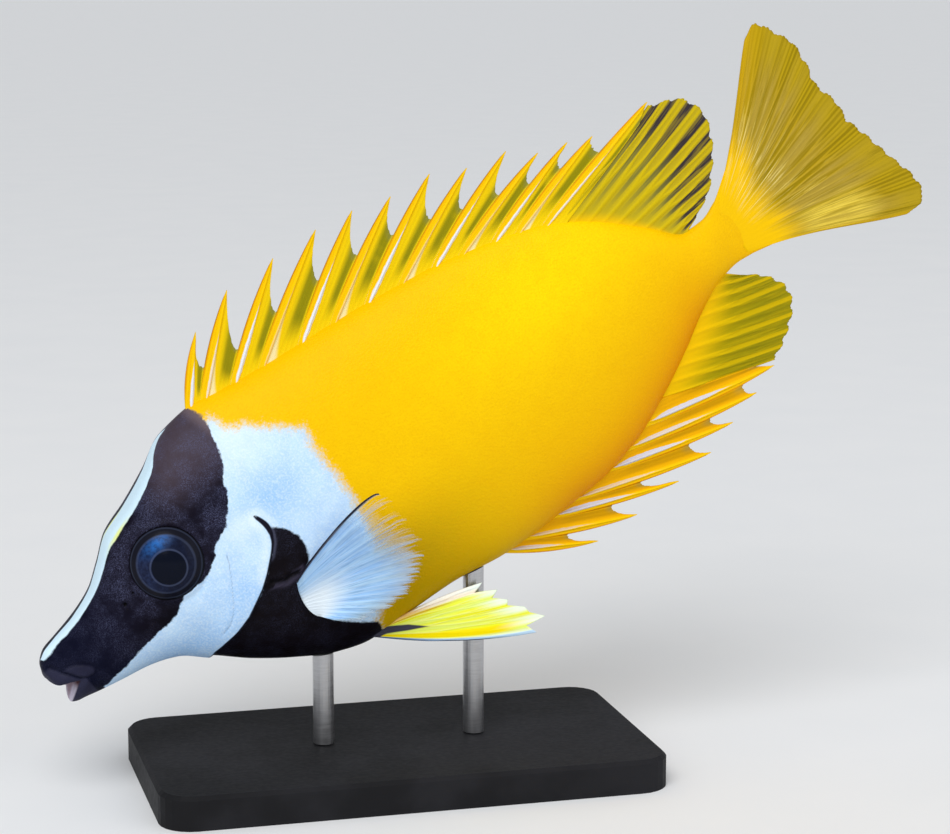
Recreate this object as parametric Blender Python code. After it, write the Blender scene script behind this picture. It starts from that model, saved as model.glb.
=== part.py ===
"""Foxface rabbitfish, life size, nose down on a plain two-rod display stand.

The fish is drawn in its own frame in millimetres: s runs from the snout tip to the tail,
y runs to the fish's right, h runs towards the back. Posed() then bends the tail, pitches the
fish and puts it over the stand. The world frame is in metres with +Z up, the fish faces -X and
its left flank faces -Y.
"""
import math

import bpy
import bmesh
import numpy as np
from mathutils import Vector

MM = 0.001
GAP = 0.3

# Pose of the fish over the stand
PITCH_DEG = 37.0
PIVOT_S = 100.4
PIVOT_X = 18.0
PIVOT_Z = 75.0
BEND_START_S = 135.4
BEND_END_S = 195.4
TAIL_BEND_DEG = 16.0

# Body stations: s, top, bottom, half width, share of the height where the body is widest,
# power of the section above that line (under 1 is boxy, over 1 is ridged)
SNOUT_POLE = (-1.62, 15.0)
BODY = (
    (-1.2, 16.5, 9.4, 1.7, 0.50, 0.8),
    (-0.8, 17.5, 7.6, 2.5, 0.50, 0.75),
    (0.2, 18.6, 6.95, 3.3, 0.48, 0.7),
    (2.0, 19.6, 6.4, 4.0, 0.46, 0.56),
    (5.0, 20.1, 5.55, 4.7, 0.44, 0.50),
    (10.0, 21.0, 4.4, 5.8, 0.44, 0.46),
    (16.0, 22.9, 3.1, 7.1, 0.46, 0.45),
    (21.0, 26.2, 1.1, 8.2, 0.48, 0.45),
    (26.5, 30.2, -3.1, 9.3, 0.50, 0.44),
    (33.0, 32.3, -9.6, 10.6, 0.50, 0.44),
    (40.0, 35.3, -15.4, 11.0, 0.47, 0.50),
    (47.5, 39.2, -20.4, 11.3, 0.45, 0.75),
    (55.0, 40.1, -23.1, 11.6, 0.45, 1.1),
    (63.0, 38.6, -23.7, 11.8, 0.46, 1.1),
    (75.0, 36.7, -24.7, 11.6, 0.47, 1.1),
    (88.5, 35.0, -27.4, 10.9, 0.50, 1.1),
    (101.0, 33.1, -28.2, 9.8, 0.50, 1.1),
    (113.0, 30.8, -28.3, 8.4, 0.50, 1.1),
    (123.5, 27.8, -26.8, 7.1, 0.50, 1.1),
    (135.6, 23.4, -22.4, 5.7, 0.50, 1.1),
    (144.7, 17.2, -18.0, 4.7, 0.50, 1.1),
    (153.0, 8.9, -13.5, 3.9, 0.50, 1.1),
    (159.5, 2.1, -11.1, 3.3, 0.50, 1.0),
    (164.5, 1.6, -10.6, 2.8, 0.50, 1.0),
    (169.2, 2.9, -11.4, 2.2, 0.50, 1.0),
)
POINTS_A_SIDE = 16
SNOUT_STEP = 0.75
HEAD_STEP = 2.3
TRUNK_STEP = 4.6
STALK_STEP = 2.6
STEP_CHANGE_S = (9.0, 58.0, 140.0)

# Cuts that part the body: the gill cover's line in s and h, and the root of the tail stalk
GILL_LINE = (
    (57.5, 60.0), (55.4, 40.3), (53.6, 33.0), (52.5, 26.0), (52.0, 20.0), (52.1, 15.6),
    (52.45, 13.2), (52.1, 11.5), (51.2, 9.9), (49.0, 7.7), (46.2, 5.3), (43.7, 3.5),
    (41.3, 2.2), (38.2, 0.5), (34.5, -0.8), (31.4, -1.4), (28.2, -2.2), (25.4, -4.2),
    (23.6, -7.5), (22.0, -14.0),
)
STALK_CUT_S = 147.0
GILL_LIFT = 0.55
GILL_LIFT_REACH = 6.0
GILL_LIFT_TOP_H = 17.0
GILL_LIFT_FADE = 6.0
MIDDLE_HALF = 0.5
CUT_HALF = 30.0
CUT_H = 60.0

# Mouth, nostrils and eyes
MOUTH_UPPER = (
    (-1.5, 14.9), (-1.25, 13.9), (-0.75, 13.0), (0.0, 12.35), (0.85, 12.0), (1.8, 11.8),
    (2.8, 11.35), (3.9, 10.8),
)
MOUTH_LOWER = ((3.9, 10.8), (2.7, 10.0), (1.6, 9.15), (0.4, 8.2), (-0.4, 7.5), (-1.6, 7.0))
MOUTH_FRONT = (
    (-4.0, 6.9), (-0.85, 7.2), (-0.8, 7.6), (-0.65, 8.5), (0.0, 9.8), (0.75, 11.0),
    (0.85, 12.0), (0.0, 12.35), (-0.75, 13.0), (-1.25, 13.9), (-1.5, 14.9), (-4.0, 15.6),
)
MOUTH_HOLLOW = MOUTH_LOWER + (
    (-1.6, 8.4), (-0.8, 9.8), (0.0, 11.2), (0.5, 12.1), (0.85, 12.0), (1.8, 11.8), (2.8, 11.35),
)
MOUTH_WALL = 0.5
LIP_HEIGHT = 0.45
LIP_WIDTH = 1.1
LIP_REACH_S = 7.5
LIP_FADE = 3.0
NOSTRILS = ((20.6, 18.2, 0.6), (23.2, 19.2, 0.42))
NOSTRIL_DEPTH = 1.3
NOSTRIL_TAPER = (0.6, 1.1)
NOSTRIL_SIDES = 12
EYE_S = 32.25
EYE_H = 20.2
EYE_RADIUS = 7.2
EYE_DEPTH_RADIUS = 5.2
EYE_BULGE = 2.8
EYE_YAW_DEG = 7.0
EYE_ROLL_DEG = 9.0
RIM_RADIUS = 7.95
RIM_TUBE = 0.8
RIM_SINK = 0.4

# Fin rays: half thickness of a spine, of a soft ray, of the membrane and of a fin's foot
SPINE_HALF = 0.95
SPINE_TIP_HALF = 0.3
SPINE_HALF_WIDTH = 0.75
SPINE_FRONT = 1.2
SPINE_BOW = 0.85
SPINE_SHOULDER = 1.1
SPINE_TIP_WIDTH = 0.28
NOTCH_AHEAD = 0.45
NOTCH_STEP = 0.12
EDGE_SHARES = (0.4, 0.8)
EDGE_PULL = (0.72, 0.9)
FLANK_EXTRA = 0.1
SPINY_END_SHARE = 0.12
RAY_HALF = 0.5
MEMBRANE_HALF = 0.27
FOOT_HALF = 0.95
FOOT_SHARE = 0.14
FOOT_POINTS = 12
RAY_VARIES = (0.93, 1.07)
FOOT_VARIES = (0.9, 1.1)
DIP_VARIES = (0.7, 1.3)

DORSAL_SPINE_FEET = (
    55.3, 58.7, 65.2, 71.5, 80.8, 88.4, 96.5, 104.3, 112.0, 118.0, 125.1, 130.2, 135.9,
)
DORSAL_SPINE_TIPS = (
    (65.9, 51.1), (76.1, 53.8), (87.4, 53.0), (97.8, 52.1), (106.1, 50.5), (114.1, 47.8),
    (123.3, 46.4), (130.2, 42.5), (138.8, 40.1), (144.0, 35.6), (150.3, 33.4), (155.4, 31.0),
    (169.5, 28.9),
)
DORSAL_NOTCHES = (
    (62.0, 45.0), (69.2, 44.2), (80.7, 44.5), (91.2, 44.3), (100.5, 43.8), (109.2, 41.8),
    (117.1, 40.1), (123.9, 36.9), (131.5, 35.0), (138.3, 32.4), (145.6, 30.6), (154.0, 28.7),
)
DORSAL_SOFT_FEET = (139.6, 158.6)
DORSAL_SOFT_TIPS = (
    (172.2, 27.5), (176.0, 25.4), (178.5, 22.5), (179.5, 18.6), (178.3, 14.9), (175.9, 11.0),
    (172.5, 7.4), (170.0, 5.2), (166.6, 3.7), (163.2, 2.6),
)
DORSAL_SOFT_RAYS = 10
SOFT_DIP = 0.7
SOFT_SWAY = 0.5
SOFT_AHEAD = 1.1

ANAL_SPINE_FEET = (88.0, 92.4, 100.1, 105.6, 115.6, 121.5, 128.0)
ANAL_SPINE_TIPS = (
    (105.2, -38.7), (115.3, -39.7), (126.8, -39.9), (136.1, -39.5), (143.8, -37.4),
    (151.8, -35.7), (158.5, -33.6),
)
ANAL_NOTCHES = (
    (100.4, -33.6), (111.3, -35.7), (119.9, -34.6), (132.5, -36.4), (139.6, -34.8),
    (149.5, -34.5),
)
ANAL_SOFT_FEET = (133.4, 160.8)
ANAL_SOFT_TIPS = (
    (159.6, -33.0), (163.4, -31.6), (166.7, -29.7), (169.9, -27.3), (171.7, -24.2),
    (171.5, -21.2), (169.8, -18.1), (167.4, -15.6), (164.6, -13.6),
)
ANAL_SOFT_RAYS = 9

CAUDAL_FOOT_S = 169.5
CAUDAL_FOOT_H = (2.7, -11.2)
CAUDAL_FOOT_HALF = 1.7
CAUDAL_TIPS = (
    (197.1, 24.0), (199.1, 25.1), (200.8, 25.6), (202.5, 25.4), (204.2, 22.3), (206.0, 19.0),
    (207.3, 16.6), (207.2, 14.0), (206.9, 9.5), (206.0, 7.4), (206.2, 5.4), (207.9, 0.1),
    (207.6, -5.0), (209.4, -10.4), (211.5, -18.1), (213.6, -24.6), (213.7, -27.5),
    (212.8, -30.1), (211.1, -30.9), (208.8, -30.9), (206.3, -30.3),
)
CAUDAL_RAYS = 17
CAUDAL_BOWS = (0.7, -1.1)
CAUDAL_SKEW = 2.0
CAUDAL_SWAY = 0.8
CAUDAL_DIP = 0.8

# Paired fins: feet and tips in s and h, and how far the tips stand off the flank
PECTORAL_FEET = ((50.9, 0.4), (50.2, -1.0), (49.6, -2.6), (49.2, -4.6), (49.1, -7.6))
PECTORAL_TIPS = (
    (73.8, 5.7), (75.0, 3.9), (75.6, 1.0), (75.1, -3.5), (75.1, -8.6), (73.6, -11.4),
    (69.9, -14.8), (66.0, -16.2), (61.0, -15.7), (56.0, -14.6), (52.0, -11.6),
)
PECTORAL_RAYS = 15
PECTORAL_OUT = (6.2, 3.4)
PECTORAL_EDGE_BOWS = (-1.1, 0.0)
PECTORAL_FOOT_HALF = 0.7
PECTORAL_BOW = 0.7
PECTORAL_DIP = (0.02, 0.05)
PECTORAL_FIRST_RAY = 1.5

PELVIC_FEET = (58.4, 55.4)
PELVIC_FOOT_Y = 2.6
PELVIC_TIPS_LEFT = (
    (80.0, -27.9), (81.6, -31.1), (82.0, -34.1), (83.8, -37.5), (86.0, -41.8), (82.4, -43.2),
)
PELVIC_TIPS_RIGHT = (
    (76.5, -32.6), (78.0, -34.6), (79.2, -36.6), (81.2, -39.0), (83.4, -42.6), (80.4, -43.6),
)
PELVIC_DIPS = (3.0, 1.9, 2.0, 1.2, 3.0)
PELVIC_TIP_Y = (3.8, 6.6)
PELVIC_EDGE_BOWS = (-0.9, 1.4)
PELVIC_FOOT_HALF = 0.8
PELVIC_SPINE_HALF = 0.8
PELVIC_BOW = 0.4

# Stand
BASE_SIZE = (106.0, 58.0, 7.0)
BASE_CORNER = 7.0
BASE_CORNER_STEPS = 6
BASE_EDGE = 0.8
ROD_RADIUS = 2.2
ROD_SIDES = 24
ROD_FRONT_S = 45.0
ROD_BACK_S = 80.5
ROD_REACH = 14.0

# Row spacing up a fin and sides of the round pieces
FIN_ROWS = (0.0, 0.14, 0.42, 0.72, 1.0)
PECTORAL_ROWS = (0.0, 0.12, 0.38, 0.70, 1.0)
EYE_SEGMENTS = 20
EYE_RINGS = 10
RIM_SEGMENTS = 24
RIM_SIDES = 6
SHARP_ANGLE_DEG = 40.0
SEED = 11


def smoothstep(t):
    t = np.clip(t, 0.0, 1.0)
    return t * t * (3.0 - 2.0 * t)


def smooth_table(x, xs, ys):
    """Monotone cubic through the points (xs, ys), read at x."""
    xs = np.asarray(xs, float)
    ys = np.asarray(ys, float)
    step = np.diff(xs)
    slope = np.diff(ys) / step
    m = np.zeros(len(xs))
    m[0] = slope[0]
    m[-1] = slope[-1]
    for i in range(1, len(xs) - 1):
        if slope[i - 1] * slope[i] > 0:
            w1 = 2 * step[i] + step[i - 1]
            w2 = step[i] + 2 * step[i - 1]
            m[i] = (w1 + w2) / (w1 / slope[i - 1] + w2 / slope[i])
    i = int(np.clip(np.searchsorted(xs, x) - 1, 0, len(xs) - 2))
    t = np.clip((x - xs[i]) / step[i], 0.0, 1.0)
    a = (1 + 2 * t) * (1 - t) ** 2
    b = t * (1 - t) ** 2
    c = t * t * (3 - 2 * t)
    d = t * t * (t - 1)
    return a * ys[i] + b * step[i] * m[i] + c * ys[i + 1] + d * step[i] * m[i + 1]


BODY_COLUMNS = tuple(zip(*BODY))


def body_value(s, column):
    return float(smooth_table(s, BODY_COLUMNS[0], BODY_COLUMNS[column]))


def body_top(s):
    return body_value(s, 1)


def body_bottom(s):
    return body_value(s, 2)


def section(s, t):
    """Point of the body's section at station s: t is 0 on the back and pi on the belly."""
    top = body_top(s)
    bottom = body_bottom(s)
    half = body_value(s, 3)
    middle = bottom + (top - bottom) * body_value(s, 4)
    power = body_value(s, 5) if t < math.pi / 2 else 1.0
    height = top - middle if t < math.pi / 2 else middle - bottom
    return half * math.sin(t) ** power, middle + height * math.cos(t)


def flank_y(s, h):
    """Half width of the body at station s and height h."""
    top = body_top(s)
    bottom = body_bottom(s)
    middle = bottom + (top - bottom) * body_value(s, 4)
    upper = h > middle
    height = top - middle if upper else middle - bottom
    c = min(abs(h - middle) / height, 1.0)
    power = body_value(s, 5) if upper else 1.0
    return body_value(s, 3) * math.sqrt(1 - c * c) ** power


def distance_to_line(point, line):
    """Distance in the plane from a point to a broken line."""
    best = 1e9
    p = Vector(point)
    for a, b in zip(line, line[1:]):
        a = Vector(a)
        b = Vector(b)
        t = max(0.0, min(1.0, (p - a).dot(b - a) / (b - a).length_squared))
        best = min(best, (p - a.lerp(b, t)).length)
    return best


def along(points, share):
    """Point at a share of the length of a broken line."""
    pts = np.array(points, float)
    run = np.concatenate([[0.0], np.cumsum(np.linalg.norm(np.diff(pts, axis=0), axis=1))])
    x = share * run[-1]
    return tuple(float(np.interp(x, run, pts[:, k])) for k in range(pts.shape[1]))


# Spine line of the bent fish, worked out once
LINE_S = np.linspace(-20.0, 240.0, 2601)
LINE_TURN = math.radians(TAIL_BEND_DEG) * smoothstep(
    (LINE_S - BEND_START_S) / (BEND_END_S - BEND_START_S))
LINE_STEP = LINE_S[1] - LINE_S[0]
LINE_X = np.cumsum(np.cos(LINE_TURN)) * LINE_STEP
LINE_Y = np.cumsum(np.sin(LINE_TURN)) * LINE_STEP
LINE_X -= np.interp(PIVOT_S, LINE_S, LINE_X)
LINE_Y -= np.interp(PIVOT_S, LINE_S, LINE_Y)


def posed(point):
    """World place in metres of a point (s, y, h) of the straight fish."""
    s, y, h = point
    turn = np.interp(s, LINE_S, LINE_TURN)
    x = np.interp(s, LINE_S, LINE_X) - y * math.sin(turn)
    side = np.interp(s, LINE_S, LINE_Y) + y * math.cos(turn)
    c = math.cos(math.radians(PITCH_DEG))
    d = math.sin(math.radians(PITCH_DEG))
    return Vector((PIVOT_X + x * c - h * d, side, PIVOT_Z + x * d + h * c)) * MM


def material(name, colour, roughness, metallic=0.0):
    made = bpy.data.materials.new(name)
    made.use_nodes = True
    shader = made.node_tree.nodes["Principled BSDF"]
    shader.inputs["Base Color"].default_value = (*colour, 1.0)
    shader.inputs["Roughness"].default_value = roughness
    shader.inputs["Metallic"].default_value = metallic
    return made


def object_from(name, vertices, faces):
    mesh = bpy.data.meshes.new(name)
    mesh.from_pydata([tuple(v) for v in vertices], [], faces)
    bm = bmesh.new()
    bm.from_mesh(mesh)
    bmesh.ops.recalc_face_normals(bm, faces=bm.faces)
    bm.to_mesh(mesh)
    bm.free()
    made = bpy.data.objects.new(name, mesh)
    bpy.context.scene.collection.objects.link(made)
    return made


def boolean(target, tool, operation):
    """Apply one Boolean to target and take its tool away."""
    modifier = target.modifiers.new(operation, "BOOLEAN")
    modifier.operation = operation
    modifier.solver = "EXACT"
    modifier.object = tool
    bpy.context.view_layer.update()
    graph = bpy.context.evaluated_depsgraph_get()
    done = bpy.data.meshes.new_from_object(target.evaluated_get(graph))
    target.modifiers.clear()
    target.data = done
    bpy.data.objects.remove(tool)


def shells(mesh):
    """Vertex index sets of the closed surfaces of a mesh."""
    parent = list(range(len(mesh.vertices)))

    def root(i):
        while parent[i] != i:
            parent[i] = parent[parent[i]]
            i = parent[i]
        return i

    for edge in mesh.edges:
        a, b = edge.vertices
        parent[root(a)] = root(b)
    groups = {}
    for i in range(len(mesh.vertices)):
        groups.setdefault(root(i), set()).add(i)
    return list(groups.values())


def shell_object(name, source, chosen):
    """New object from one closed surface of another."""
    order = {old: new for new, old in enumerate(sorted(chosen))}
    vertices = [source.data.vertices[i].co for i in sorted(chosen)]
    faces = [[order[v] for v in polygon.vertices] for polygon in source.data.polygons
             if polygon.vertices[0] in chosen]
    return object_from(name, vertices, faces)


def triangulated(target):
    bm = bmesh.new()
    bm.from_mesh(target.data)
    bmesh.ops.triangulate(bm, faces=bm.faces)
    bm.to_mesh(target.data)
    bm.free()


def pose(target):
    triangulated(target)
    for vertex in target.data.vertices:
        vertex.co = posed(vertex.co)


def finish(target, made):
    target.data.materials.clear()
    target.data.materials.append(made)
    for polygon in target.data.polygons:
        polygon.use_smooth = True
    target.data.set_sharp_from_angle(angle=math.radians(SHARP_ANGLE_DEG))


def station_list():
    places = [BODY[0][0]]
    end = BODY[-1][0]
    while places[-1] < end:
        s = places[-1]
        step = STALK_STEP
        if s < STEP_CHANGE_S[0]:
            step = SNOUT_STEP if s > BODY[1][0] else BODY[1][0] - BODY[0][0]
        elif s < STEP_CHANGE_S[1]:
            step = HEAD_STEP
        elif s < STEP_CHANGE_S[2]:
            step = TRUNK_STEP
        places.append(s + step)
    places[-1] = end
    return places


def lip_lift(s, h):
    """How far the lips stand out beside the line of the mouth."""
    if s > LIP_REACH_S:
        return 0.0
    near = min(distance_to_line((s, h), MOUTH_UPPER), distance_to_line((s, h), MOUTH_LOWER))
    fade = 1.0 - smoothstep((s - LIP_REACH_S + LIP_FADE) / LIP_FADE)
    return LIP_HEIGHT * fade * math.exp(-((near - LIP_WIDTH) / LIP_WIDTH) ** 2)


def make_body():
    """The whole body as one closed surface in the straight fish's frame."""
    places = station_list()
    ring = 2 * POINTS_A_SIDE
    vertices = [(SNOUT_POLE[0], 0.0, SNOUT_POLE[1])]
    for s in places:
        for k in range(ring):
            turn = 2 * math.pi * k / ring
            t = turn if turn <= math.pi else 2 * math.pi - turn
            side = 1.0 if turn <= math.pi else -1.0
            y, h = section(s, t)
            if 0 < k < ring and k != POINTS_A_SIDE:
                y += lip_lift(s, h)
            vertices.append((s, side * y, h))
    last = places[-1]
    vertices.append((last, 0.0, (body_top(last) + body_bottom(last)) / 2))
    faces = []
    for k in range(ring):
        faces.append((0, 1 + k, 1 + (k + 1) % ring))
    for i in range(len(places) - 1):
        a = 1 + i * ring
        b = a + ring
        for k in range(ring):
            n = (k + 1) % ring
            faces.append((a + k, b + k, b + n))
            faces.append((a + k, b + n, a + n))
    a = 1 + (len(places) - 1) * ring
    for k in range(ring):
        faces.append((len(vertices) - 1, a + (k + 1) % ring, a + k))
    return object_from("body", vertices, faces)


def prism(name, outline, y_low, y_high):
    """Closed prism across the fish from an outline in s and h."""
    n = len(outline)
    vertices = [(s, y_low, h) for s, h in outline] + [(s, y_high, h) for s, h in outline]
    faces = [tuple(range(n)), tuple(reversed(range(n, 2 * n)))]
    for k in range(n):
        j = (k + 1) % n
        faces.append((k, j, n + j, n + k))
    return object_from(name, vertices, faces)


def thickened(line, half):
    """Outline of a band of the given half width along a broken line."""
    left = []
    right = []
    for i, point in enumerate(line):
        before = Vector(line[max(i - 1, 0)])
        after = Vector(line[min(i + 1, len(line) - 1)])
        run = (after - before).normalized()
        normal = Vector((-run.y, run.x)) * half
        left.append(tuple(Vector(point) + normal))
        right.append(tuple(Vector(point) - normal))
    return left + right[::-1]


def eye_frame(side):
    """Centre of the socket's opening on the skin, and the outward, back and up directions."""
    yaw = math.radians(EYE_YAW_DEG)
    roll = math.radians(EYE_ROLL_DEG)
    out = Vector((-math.sin(yaw), side * math.cos(yaw) * math.cos(roll),
                  math.cos(yaw) * math.sin(roll)))
    back = Vector((1.0, 0.0, 0.0))
    back = (back - out * back.dot(out)).normalized()
    up = out.cross(back) * -side
    return Vector((EYE_S, side * flank_y(EYE_S, EYE_H), EYE_H)), out, back, up.normalized()


def eyeball(name, side, grow):
    """Flattened ball of the eye, grown by a margin for its socket."""
    middle, out, back, up = eye_frame(side)
    centre = middle + out * (EYE_BULGE - EYE_DEPTH_RADIUS)
    wide = EYE_RADIUS + grow
    deep = EYE_DEPTH_RADIUS + grow
    vertices = [centre + out * deep]
    for i in range(1, EYE_RINGS):
        polar = math.pi * i / EYE_RINGS
        for k in range(EYE_SEGMENTS):
            turn = 2 * math.pi * k / EYE_SEGMENTS
            flat = back * math.cos(turn) + up * math.sin(turn)
            vertices.append(centre + out * deep * math.cos(polar) + flat * wide * math.sin(polar))
    vertices.append(centre - out * deep)
    faces = []
    end = len(vertices) - 1
    for k in range(EYE_SEGMENTS):
        n = (k + 1) % EYE_SEGMENTS
        faces.append((0, 1 + k, 1 + n))
        faces.append((end, end - EYE_SEGMENTS + n, end - EYE_SEGMENTS + k))
        for i in range(EYE_RINGS - 2):
            a = 1 + i * EYE_SEGMENTS
            b = a + EYE_SEGMENTS
            faces.append((a + k, b + k, b + n, a + n))
    return object_from(name, vertices, faces)


def eye_rim(side):
    """Raised fold of skin round the eye."""
    middle, out, back, up = eye_frame(side)
    vertices = []
    for k in range(RIM_SEGMENTS):
        turn = 2 * math.pi * k / RIM_SEGMENTS
        flat = back * math.cos(turn) + up * math.sin(turn)
        place = middle + flat * RIM_RADIUS
        skin = flank_y(place.x, place.z)
        place.y = side * skin
        centre = place - out * RIM_SINK
        for j in range(RIM_SIDES):
            roll = 2 * math.pi * j / RIM_SIDES
            vertices.append(centre + (flat * math.cos(roll) + out * math.sin(roll)) * RIM_TUBE)
    faces = []
    for k in range(RIM_SEGMENTS):
        n = (k + 1) % RIM_SEGMENTS
        for j in range(RIM_SIDES):
            m = (j + 1) % RIM_SIDES
            faces.append((k * RIM_SIDES + j, k * RIM_SIDES + m, n * RIM_SIDES + m,
                          n * RIM_SIDES + j))
    return object_from("rim", vertices, faces)


def nostril(side, s, h, radius):
    y = flank_y(s, h)
    rows = ((y - NOSTRIL_DEPTH, radius * NOSTRIL_TAPER[0]),
            (y + NOSTRIL_DEPTH, radius * NOSTRIL_TAPER[1]))
    sides = NOSTRIL_SIDES
    vertices = []
    for depth, r in rows:
        for k in range(sides):
            turn = 2 * math.pi * k / sides
            vertices.append((s + r * math.cos(turn), side * depth, h + r * math.sin(turn)))
    faces = [tuple(range(sides)), tuple(range(sides, 2 * sides))]
    for k in range(sides):
        n = (k + 1) % sides
        faces.append((k, n, sides + n, sides + k))
    return object_from("nostril", vertices, faces)


def lift_gill_cover(head):
    """Swell the rear edge of the gill cover over the shoulder behind it."""
    line = [p for p in GILL_LINE if p[1] < GILL_LIFT_TOP_H + GILL_LIFT_FADE]
    for vertex in head.data.vertices:
        s, y, h = vertex.co
        if abs(y) < MIDDLE_HALF:
            continue
        near = 1.0 - smoothstep(distance_to_line((s, h), line) / GILL_LIFT_REACH)
        near *= 1.0 - smoothstep((h - GILL_LIFT_TOP_H + GILL_LIFT_FADE) / GILL_LIFT_FADE)
        share = smoothstep(abs(y) / max(flank_y(s, h), MIDDLE_HALF))
        vertex.co.y += math.copysign(GILL_LIFT * near * share, y)


def make_flesh():
    """Head, trunk and tail stalk, parted from one body by thin cuts."""
    body = make_body()
    for side in (-1, 1):
        boolean(body, eye_rim(side), "UNION")
    for side in (-1, 1):
        boolean(body, eyeball("socket", side, GAP), "DIFFERENCE")
        for s, h, radius in NOSTRILS:
            boolean(body, nostril(side, s, h, radius), "DIFFERENCE")
    boolean(body, prism("mouth", MOUTH_FRONT, -CUT_HALF, CUT_HALF), "DIFFERENCE")
    boolean(body, prism("mouth_left", MOUTH_HOLLOW, -CUT_HALF, -MOUTH_WALL), "DIFFERENCE")
    boolean(body, prism("mouth_right", MOUTH_HOLLOW, MOUTH_WALL, CUT_HALF), "DIFFERENCE")
    gill = thickened(GILL_LINE, GAP / 2)
    boolean(body, prism("gill_cut", gill, -CUT_HALF, CUT_HALF), "DIFFERENCE")
    stalk_line = ((STALK_CUT_S, CUT_H), (STALK_CUT_S, -CUT_H))
    stalk = thickened(stalk_line, GAP / 2)
    boolean(body, prism("stalk_cut", stalk, -CUT_HALF, CUT_HALF), "DIFFERENCE")
    parts = sorted(shells(body.data), key=len, reverse=True)[:3]
    parts.sort(key=lambda group: sum(body.data.vertices[i].co.x for i in group) / len(group))
    head = shell_object("head", body, parts[0])
    trunk = shell_object("trunk", body, parts[1])
    stalk = shell_object("tail_stalk", body, parts[2])
    bpy.data.objects.remove(body)
    lift_gill_cover(head)
    return head, trunk, stalk


def sheet(name, left, right):
    """Closed sheet from two grids of points with the same triangles on both faces."""
    columns = len(left)
    rows = len(left[0])
    vertices = [p for column in left for p in column] + [p for column in right for p in column]
    back = columns * rows

    def at(i, j):
        return i * rows + j

    faces = []
    for i in range(columns - 1):
        for j in range(rows - 1):
            a, b, c, d = at(i, j), at(i + 1, j), at(i + 1, j + 1), at(i, j + 1)
            for triangle in ((a, b, c), (a, c, d)):
                faces.append(triangle)
                faces.append(tuple(back + k for k in reversed(triangle)))
    edge = [at(i, 0) for i in range(columns)]
    edge += [at(columns - 1, j) for j in range(1, rows)]
    edge += [at(i, rows - 1) for i in range(columns - 2, -1, -1)]
    edge += [at(0, j) for j in range(rows - 2, 0, -1)]
    for k, a in enumerate(edge):
        b = edge[(k + 1) % len(edge)]
        faces.append((a, back + a, back + b))
        faces.append((a, back + b, b))
    return object_from(name, vertices, faces)


def bow_share(v, skew=1.0):
    """Share of a bow at row v, 1 at its peak, which a skew over 1 brings nearer the foot."""
    peak = skew ** skew / (1 + skew) ** (1 + skew)
    return v * (1 - v) ** skew / peak


def median_sheet(name, columns, rows, foot_half, sway=0.0, skew=1.0):
    """Fin in the fish's middle plane: a column is foot, tip, bow, thickness at foot and tip."""
    left = []
    right = []
    for foot, tip, bow, thick, thin in columns:
        run = Vector(tip) - Vector(foot)
        across = Vector((run.y, -run.x)) * bow / max(run.length, 1e-6)
        lefts = []
        rights = []
        for v in rows:
            place = Vector(foot) + run * v + across * bow_share(v, skew)
            half = thick + (thin - thick) * v
            half += (foot_half - thick) * max(0.0, 1.0 - v / FOOT_SHARE) if v < FOOT_SHARE else 0.0
            y = sway * v * v
            lefts.append((place.x, y - half, place.y))
            rights.append((place.x, y + half, place.y))
        left.append(lefts)
        right.append(rights)
    return sheet(name, left, right)


def edge_foot(s, upper):
    """Foot of a fin on the back or belly line, a gap away from the body."""
    if upper:
        return s, body_top(s) + GAP
    return s, body_bottom(s) - GAP


def front_edge(foot_s, tip, upper):
    """Foot, end and direction of the front edge of a spine, ahead of its crest."""
    foot = Vector(edge_foot(foot_s - SPINE_FRONT, upper))
    run = (Vector(tip) - foot).normalized()
    behind = Vector((1.0, 0.0)) - run * run.x
    behind.normalize()
    end = Vector(tip) - run * SPINE_SHOULDER - behind * SPINE_TIP_WIDTH
    return foot, end, run, behind


def notch_column(foot_s, tip, notch, upper):
    """Last column of the membrane, which lies along the next spine's front edge."""
    foot, end, run, behind = front_edge(foot_s, tip, upper)
    share = (Vector(notch) - foot).dot(run) / (end - foot).length
    bow = SPINE_BOW * bow_share(share)
    top = foot + (end - foot) * share - behind * (bow + NOTCH_STEP)
    sign = -1.0 if upper else 1.0
    start = edge_foot(foot_s - SPINE_FRONT - NOTCH_AHEAD, upper)
    return start, tuple(top), sign * SPINE_BOW * share * share, MEMBRANE_HALF, MEMBRANE_HALF


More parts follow.
